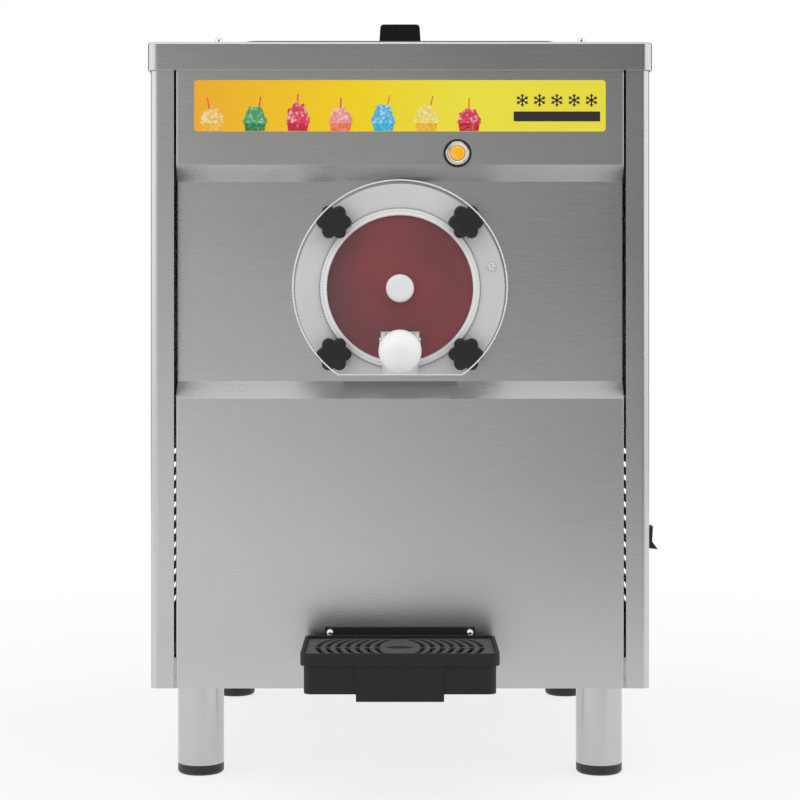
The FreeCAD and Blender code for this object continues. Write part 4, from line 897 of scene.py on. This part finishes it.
        front = -low.y
        bezel = [(-high.y, outer * 0.8), (-panel + 0.4 * MM, outer * 0.8), (-panel + 0.4 * MM, outer),
                 *rounded_end(front, outer, 0.9 * MM, 1), (front, lens * 1.1), (front - 1.0 * MM, lens * 1.02),
                 (-high.y, lens * 1.02)]
        ring = show("indicator_ring", lathe("indicator_ring", bezel, centre, face, 96, flats), [SATIN_CHROME], "cabinet",
                    ["indicator_bezel"])
        ring.data.shade_smooth()
        top = -lens_low.y
        dome = [(-lens_high.y, 0), (-lens_high.y, lens), (top - 1.7 * MM, lens)]
        dome += [(top - 1.7 * MM * (1 - math.cos(t)), lens * math.sin(t)) for t in (1.2, 0.9, 0.6, 0.3)]
        dome.append((top, 0))
        glow = show("indicator_dome", lathe("indicator_dome", dome, centre, face), [AMBER], "cabinet",
                    ["indicator_lens"])
        glow.data.shade_smooth()


# ---------------------------------------------------------------- faceplate


@dataclass
class Faceplate:
    """The faceplate with its rim, window, centre cap, four star knobs, pin, lever and valve."""

    lobes: int = 6
    teeth: int = 168
    tooth_deep: float = 1.4 * MM
    highlight_bead_thick: float = 0.55 * MM
    highlight_bead_steps: int = 160
    knob_valley: float = 0.78
    knob_socket: float = 4.05 * MM
    cap_grip: float = 0.38
    ball_bore: float = 4.1 * MM

    def build(self) -> None:
        """Builds each part of the faceplate."""
        rounded_copy("faceplate", "moulded_plate", PLATE, "faceplate", 0.9 * MM, 3)
        rounded_copy("knob_washers", "knob_seats", CHROME, "faceplate", 0.3 * MM)
        rounded_copy("lever_pin", "hinge_pin", CHROME, "faceplate", 0.3 * MM)
        rounded_copy("dispense_lever", "forked_lever", FOOD_STEEL, "lever", 0.4 * MM)
        rounded_copy("valve_plunger", "white_plunger", WHITE, "plunger", 0.3 * MM)
        self.build_highlight_bead()
        self.build_window()
        self.build_rim()
        self.build_cap()
        self.build_pin()
        self.build_ball()
        for side in ("upper_left", "upper_right", "lower_left", "lower_right"):
            self.build_knob(side)

    def build_highlight_bead(self) -> None:
        """Builds a white bead round the plate's edge as a painted highlight along its rounded edge."""
        low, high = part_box("faceplate")
        radius = (high.x - low.x) / 2
        centre = Vector((middle(low, high).x, low.y + 0.35 * MM, high.z - radius))
        thick, steps = self.highlight_bead_thick, self.highlight_bead_steps
        path_radius = radius - thick
        flat = low.z + thick - centre.z
        corner = math.asin(-flat / path_radius)
        turns = [-corner + (math.pi + 2 * corner) * step / steps for step in range(steps + 1)]
        path = [(Vector((math.cos(t), 0, math.sin(t))) * path_radius, Vector((math.cos(t), 0, math.sin(t))))
                for t in turns]
        path[0] = (path[0][0], Vector((0.6, 0, -0.8)))
        path[-1] = (path[-1][0], Vector((-0.6, 0, -0.8)))
        points, faces = [], []
        for spot, out in path:
            for step in range(8):
                turn = math.pi / 4 * step
                points.append(tuple(centre + spot + out * thick * math.cos(turn)
                                    + Vector((0, -1, 0)) * thick * math.sin(turn)))
        for number in range(len(path)):
            after = (number + 1) % len(path)
            faces += [(number * 8 + step, number * 8 + (step + 1) % 8, after * 8 + (step + 1) % 8, after * 8 + step)
                      for step in range(8)]
        # Painted highlight: the white bead stands for the bright line along the plate's edge.
        bead = show("plate_highlight_bead", make_mesh("plate_highlight_bead", points, faces), [RING_WHITE], "faceplate")
        bead.data.shade_smooth()

    def build_window(self) -> None:
        """Builds the window with a polished edge."""
        rounded_copy("sight_window", "tinted_window", WINDOW, "faceplate", 0.5 * MM, 3)

    def build_rim(self) -> None:
        """Builds the milled ring around the window over a black ring that paints shade between its teeth and round
        its edge.
        """
        low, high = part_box("sight_window")
        inner = (high.x - low.x) / 2
        outer = inner + 5.9 * MM
        front = -low.y + 2.7 * MM
        back = -low.y - 0.2 * MM
        centre = Vector((0, 0, middle(*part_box("centre_cap")).z))
        # Painted shade: a black ring under the teeth shows as dark ticks between them and a thin dark line round the
        # rim.
        reach, face = outer + 0.3 * MM, back + 0.9 * MM
        under = [(back, inner), (back, reach), (face, reach), (face, inner)]
        show("rim_tooth_shade", lathe("rim_tooth_shade", under, centre, Vector(TOWARDS_FRONT), 192), [RUBBER], "faceplate")
        profile = [(back, inner - 0.3 * MM), (front - 0.9 * MM, inner - 0.3 * MM), (front, inner + 0.6 * MM),
                   (front, inner + 2.5 * MM), (front - 0.35 * MM, inner + 2.8 * MM),
                   (front - 0.35 * MM, inner + 3.2 * MM), (front - 0.05 * MM, inner + 3.5 * MM),
                   (front - 0.05 * MM, outer - 0.9 * MM),
                   (front - 0.7 * MM, outer), (back, outer)]

        def milled(number: int, turn: float) -> float:
            """Gives the outer edge its fine teeth."""
            if number < 7:
                return 1.0
            wave = math.sin(turn * self.teeth)
            return 1.0 - (self.tooth_deep / outer) * max(0.0, -wave)

        ring = show("milled_rim", lathe("milled_rim", profile, centre, Vector(TOWARDS_FRONT), self.teeth * 4, milled),
                    [RING_WHITE], "faceplate")
        ring.data.shade_smooth()
        soften(ring, 0.08 * MM, 1, 30.0)

    def build_cap(self) -> None:
        """Builds the centre cap with four grip flats."""
        low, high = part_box("centre_cap")
        radius = (high.x - low.x) / 2
        centre = on_axis(low, high)
        front = -low.y
        plate = -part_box("sight_window")[0].y

        def gripped(number: int, turn: float) -> float:
            """Cuts four flats in the cap's side wall."""
            off = abs((turn + math.pi / 4) % (math.pi / 2) - math.pi / 4)
            if number in (4, 5) and off < self.cap_grip:
                return math.cos(self.cap_grip) / math.cos(off)
            return 1.0

        profile = [(plate - 5.0 * MM, 0), (plate - 5.0 * MM, 5.0 * MM), (plate + 0.2 * MM, radius),
                   (plate + 1.8 * MM, radius), (plate + 2.0 * MM, radius * 0.99), (front - 3.5 * MM, radius * 0.99),
                   (front - 3.3 * MM, radius * 0.995)]
        profile += [(front - 3.2 * MM * (1 - math.sin(t)), radius - 3.4 * MM * (1 - math.cos(t)))
                    for t in (0.3, 0.6, 0.9, 1.2)]
        profile += [(front, radius * 0.45), (front, 0)]
        cap = show("domed_cap", lathe("domed_cap", profile, centre, Vector(TOWARDS_FRONT), 96, gripped), [WHITE],
                   "faceplate", ["centre_cap"])
        cap.data.shade_smooth()
        soften(cap, 0.12 * MM, 2, 30.0)

    def build_pin(self) -> None:
        """Builds the locating pin with its drive socket."""
        low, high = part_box("locating_pin")
        radius = (high.x - low.x) / 2
        centre = on_axis(low, high)
        front, back = -low.y, -high.y
        plate = -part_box("sight_window")[0].y
        profile = [(back, 0), (back, radius * 0.7), (plate, radius * 0.7), (plate, radius),
                   (front - 1.2 * MM, radius), (front - 0.3 * MM, radius * 0.86), (front, radius * 0.66),
                   (front, radius * 0.42), (front - 1.4 * MM, radius * 0.38), (front - 1.6 * MM, 0)]
        pin = show("socket_pin", lathe("socket_pin", profile, centre, Vector(TOWARDS_FRONT), 48), [SATIN_CHROME],
                   "faceplate", ["locating_pin"])
        pin.data.shade_smooth()
        soften(pin, 0.1 * MM, 2, 30.0)

    def build_ball(self) -> None:
        """Builds the ball with a moulded collar where the rod goes in."""
        low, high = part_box("lever_ball")
        centre = middle(low, high)
        radius = (high.x - low.x) / 2
        pin_low, pin_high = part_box("lever_pin")
        to_pin = (middle(pin_low, pin_high) - centre).normalized()
        bore = self.ball_bore
        start = math.asin((bore + 1.0 * MM) / radius)
        profile = [(radius - 16.0 * MM, bore), (radius - 0.8 * MM, bore)]
        steps = 40
        for step in range(steps + 1):
            turn = start + (math.pi - start) * step / steps
            seam = 0.9995 if step == steps // 2 else 1.0
            profile.append((radius * math.cos(turn), radius * math.sin(turn) * seam if step < steps else 0))
        profile.insert(0, (radius - 16.0 * MM, 0))
        ball = show("moulded_ball", lathe("moulded_ball", profile, centre, to_pin, 80), [BALL_WHITE], "lever",
                    ["lever_ball"])
        ball.data.shade_smooth()

    def build_knob(self, side: str) -> None:
        """Builds one star knob.

        Args:
            side: Which knob: the first words of its node's name.
        """
        node = f"{side}_knob"
        low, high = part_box(node)
        reach = (high.x - low.x) / 2
        valley, socket = self.knob_valley, self.knob_socket
        centre = on_axis(low, high)
        front, back = -low.y, -high.y
        profile = [(back + 9.0 * MM, 0), (back + 9.0 * MM, socket), (back, socket), (back, reach * 0.93),
                   (back + 0.8 * MM, reach), (front - 2.2 * MM, reach * 0.985), (front - 0.9 * MM, reach * 0.95),
                   (front - 0.3 * MM, reach * 0.9), (front, reach * 0.8), (front, reach * 0.5), (front, 0)]

        def outline(number: int, turn: float) -> float:
            """Keeps the socket round and gives the rest its lobes."""
            if number < 3 or number == 10:
                return 1.0
            wave = (1 + math.cos(turn * self.lobes)) / 2
            return valley + (1 - valley) * wave ** 0.5

        name = f"{side}_star_knob"
        mesh = lathe(name, profile, centre, Vector(TOWARDS_FRONT), 120, outline)
        knob = show(name, mesh, [BLACK], node, [node])
        knob.data.shade_smooth()


# ---------------------------------------------------------------- drip tray and switch


@dataclass
class DripTray:
    """The drip tray and its slotted grille."""

    def build(self) -> None:
        """Builds the tray and grille with soft edges."""
        rounded_copy("drip_tray", "tray_bowl", TRAY_BLACK, "drip_tray", 0.7 * MM, 3)
        rounded_copy("drip_grille", "slotted_grille", GRILLE_GREY, "drip_grille", 0.35 * MM, 2)


@dataclass
class Switch:
    """The rocker switch on the right side."""

    def build(self) -> None:
        """Builds the bezel and the rocker."""
        rounded_copy("switch_bezel", "rocker_bezel", BLACK, "cabinet", 0.4 * MM)
        rounded_copy("power_rocker", "rocker_cap", BLACK, "rocker", 0.5 * MM, 3)


# ---------------------------------------------------------------- parts that keep their CAD shape


@dataclass(frozen=True)
class KeptNodes:
    """CAD nodes that stay as they are and only get a finish."""

    finishes: tuple[tuple[str, Finish], ...] = (
        ("base_pan", ZINC), ("side_frames", ZINC), ("component_shelf", ZINC), ("gearmotor_bracket", ZINC),
        ("control_box", ZINC), ("hopper", FOOD_STEEL), ("barrel", FOOD_STEEL), ("beater", FOOD_STEEL),
        ("hopper_gasket", PALE_RUBBER), ("feed_tube", WHITE), ("scraper_blades", WHITE),
        ("evaporator_coil", COPPER), ("filter_drier", COPPER), ("refrigerant_lines", COPPER),
        ("barrel_insulation", FOAM), ("shaft_seal", RUBBER), ("barrel_seal", RUBBER), ("plunger_seals", RUBBER),
        ("drive_coupling", CHROME), ("faceplate_studs", CHROME), ("lever_spring", CHROME),
        ("gearmotor", CAST_GREY), ("fan_motor", CAST_GREY), ("compressor", ENAMEL), ("fan_shroud", ENAMEL),
        ("condenser", FINS), ("fan_blade", FINS), ("cord_gland", BLACK),
    )

    def build(self, nodes: dict[str, bpy.types.Object]) -> None:
        """Gives each kept node its finish.

        Args:
            nodes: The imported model's objects by name.
        """
        for name, finish in self.finishes:
            mesh = nodes[name].data
            mesh.materials.clear()
            mesh.materials.append(finish.material())
            log.info("%s keeps its shape in %s", name, finish.name)


# ---------------------------------------------------------------- studio


@dataclass
class Studio:
    """The pale floor, the soft surroundings, one lamp and the camera."""

    front_levels: tuple[tuple[float, float], ...] = (
        (-0.2, 0.95), (-0.13, 0.86), (-0.09, 0.70), (-0.05, 0.46), (0.0, 0.40), (0.05, 0.36), (0.10, 0.29),
        (0.14, 0.22))
    front_tilt: float = 3.2
    side_tone: float = 1.35
    rear_tone: float = 0.06
    top_tone: float = 1.1
    low_tone: float = 0.3
    fade_near: float = 0.45
    fade_far: float = 1.3
    floor_half: float = 2.6
    floor_mix: float = 0.78
    lamp_power: float = 4.0
    lamp_place: Point = (-0.4, -1.5, 2.3)
    lamp_aim: Point = (0.0, 0.0, 0.35)
    lens_length: float = 94.6
    lens_shift: float = -0.094
    camera_far: float = 1.85
    camera_high: float = 0.402

    def build(self) -> None:
        """Builds the whole studio."""
        bpy.context.scene.view_settings.view_transform = "Standard"
        self.build_floor()
        self.build_world()
        self.build_lamp()
        self.build_camera()

    def build_floor(self) -> None:
        """Builds the floor: white, with the object's shadow, fading into the background."""
        half, front, back = self.floor_half, -1.15, 2.6
        points = [(-half, front, 0), (half, front, 0), (half, back, 0), (-half, back, 0)]
        mesh = bpy.data.meshes.new("studio_floor")
        mesh.from_pydata(points, [], [(0, 1, 2, 3)])
        floor = bpy.data.objects.new("studio_floor", mesh)
        bpy.context.scene.collection.objects.link(floor)
        shader = Shader("studio_paper")
        shader.colour(shader.ramp(shader.noise(30.0), [(0.3, (0.86, 0.86, 0.86)), (0.7, (0.88, 0.88, 0.88))]))
        shader.set(Roughness=0.9)
        reach = shader.add("ShaderNodeVectorMath", operation="LENGTH")
        shader.link(shader.place, reach.inputs[0])
        fade = shader.span(reach.outputs["Value"], self.floor_mix, 1.0, self.fade_near, self.fade_far)
        seen = self.seen(shader)
        amount = shader.add("ShaderNodeMath", operation="MULTIPLY")
        shader.link(fade, amount.inputs[0])
        shader.link(seen, amount.inputs[1])
        white = shader.add("ShaderNodeEmission")
        mix = shader.add("ShaderNodeMixShader")
        shader.link(amount.outputs[0], mix.inputs[0])
        shader.link(shader.body.outputs[0], mix.inputs[1])
        shader.link(white.outputs[0], mix.inputs[2])
        shader.link(mix.outputs[0], shader.output.inputs["Surface"])
        mesh.materials.append(shader.material)

    @staticmethod
    def seen(shader: Shader) -> bpy.types.NodeSocket:
        """Gives 1 for rays from the camera, from gloss and through glass.

        Args:
            shader: The material under construction.

        Returns:
            The value's socket.
        """
        path = shader.add("ShaderNodeLightPath")
        total = path.outputs["Is Camera Ray"]
        for name in ("Is Glossy Ray", "Is Transmission Ray"):
            most = shader.add("ShaderNodeMath", operation="MAXIMUM")
            shader.link(total, most.inputs[0])
            shader.link(path.outputs[name], most.inputs[1])
            total = most.outputs[0]
        return total

    def build_world(self) -> None:
        """Builds surroundings with a grey front, bright sides and top, and a white background."""
        world = bpy.data.worlds.new("studio_room")
        bpy.context.scene.world = world
        world.use_nodes = True
        tree = world.node_tree
        tree.nodes.clear()

        def node(kind: str, **settings: object) -> bpy.types.Node:
            """Adds one node to the world."""
            made = tree.nodes.new(kind)
            for key, value in settings.items():
                setattr(made, key, value)
            return made

        def maths(operation: str, *values: object) -> bpy.types.NodeSocket:
            """Adds one sum to the world and gives its result."""
            made = node("ShaderNodeMath", operation=operation)
            for socket, value in zip(made.inputs, values):
                if isinstance(value, (int, float)):
                    socket.default_value = value
                else:
                    tree.links.new(value, socket)
            return made.outputs[0]

        def step(value: bpy.types.NodeSocket, start: float, end: float) -> bpy.types.NodeSocket:
            """Rises smoothly from 0 to 1 between two values."""
            made = node("ShaderNodeMapRange", interpolation_type="SMOOTHSTEP")
            tree.links.new(value, made.inputs["Value"])
            made.inputs["From Min"].default_value = start
            made.inputs["From Max"].default_value = end
            return made.outputs["Result"]

        def blend(low: object, high: object, share: bpy.types.NodeSocket) -> bpy.types.NodeSocket:
            """Goes from one value to another by a share."""
            return maths("ADD", maths("MULTIPLY", low, maths("SUBTRACT", 1.0, share)), maths("MULTIPLY", high, share))

        way = node("ShaderNodeSeparateXYZ")
        tree.links.new(node("ShaderNodeTexCoord").outputs["Generated"], way.inputs[0])
        x, y, z = way.outputs
        turn = maths("DIVIDE", maths("ABSOLUTE", maths("ARCTAN2", x, maths("MULTIPLY", y, -1.0))), math.pi)
        lowest, highest = self.front_levels[0][0], self.front_levels[-1][0]
        rise = node("ShaderNodeMapRange")
        tree.links.new(z, rise.inputs["Value"])
        rise.inputs["From Min"].default_value, rise.inputs["From Max"].default_value = lowest, highest
        ramp = node("ShaderNodeValToRGB")
        tree.links.new(rise.outputs["Result"], ramp.inputs["Fac"])
        stops = ramp.color_ramp.elements
        for height, _ in self.front_levels[1:-1]:
            stops.new((height - lowest) / (highest - lowest))
        for stop, (_, tone) in zip(stops, self.front_levels):
            stop.color = (tone, tone, tone, 1.0)
        aside = maths("MINIMUM", maths("MAXIMUM", x, -0.2), 0.2)
        tilt = maths("SUBTRACT", 1.0, maths("MULTIPLY", aside, self.front_tilt))
        front = maths("MULTIPLY", ramp.outputs["Color"], tilt)
        room = blend(self.side_tone, self.rear_tone, step(turn, 0.66, 0.74))
        room = blend(room, self.low_tone, step(maths("MULTIPLY", z, -1.0), 0.0, 0.12))
        level = blend(front, room, step(turn, 0.12, 0.26))
        level = blend(level, self.top_tone, step(z, 0.35, 0.7))
        path = node("ShaderNodeLightPath")
        mirrored = maths("MAXIMUM", path.outputs["Is Glossy Ray"], path.outputs["Is Transmission Ray"])
        behind = maths("MULTIPLY", mirrored, step(turn, 0.9, 0.96))
        level = blend(level, 1.0, maths("MAXIMUM", path.outputs["Is Camera Ray"], behind))
        sky = node("ShaderNodeBackground")
        tree.links.new(level, sky.inputs["Color"])
        tree.links.new(sky.outputs[0], node("ShaderNodeOutputWorld").inputs["Surface"])

    def build_lamp(self) -> None:
        """Builds a large soft lamp above and in front."""
        lamp = bpy.data.lights.new("overhead_softbox", "AREA")
        lamp.shape = "RECTANGLE"
        lamp.size, lamp.size_y = 1.8, 1.2
        lamp.energy = self.lamp_power
        box = bpy.data.objects.new("overhead_softbox", lamp)
        box.location = self.lamp_place
        box.rotation_euler = (Vector(self.lamp_aim) - box.location).to_track_quat("-Z", "Y").to_euler()
        bpy.context.scene.collection.objects.link(box)

    def build_camera(self) -> None:
        """Builds the level camera in front of the machine."""
        lens = bpy.data.cameras.new("front_camera")
        lens.sensor_width = 36.0
        lens.lens = self.lens_length
        lens.shift_y = self.lens_shift
        lens.clip_end = 50.0
        camera = bpy.data.objects.new("front_camera", lens)
        camera.location = (0.0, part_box("front_panel")[0].y - self.camera_far, self.camera_high)
        camera.rotation_euler = (math.radians(90.0), 0.0, 0.0)
        bpy.context.scene.collection.objects.link(camera)
        bpy.context.scene.camera = camera


# ---------------------------------------------------------------- making


def main() -> None:
    """Loads the frame, builds the studio, finishes the kept nodes and builds every sub-assembly."""
    logging.basicConfig(level=logging.INFO, format="%(name)s: %(message)s")
    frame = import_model()
    Studio().build()
    KeptNodes().build(frame["nodes"])
    for assembly in (Cabinet(), Header(), Lid(), Faceplate(), DripTray(), Switch()):
        log.info("building %s", type(assembly).__name__)
        assembly.build()


if __name__ == "__main__":
    main()
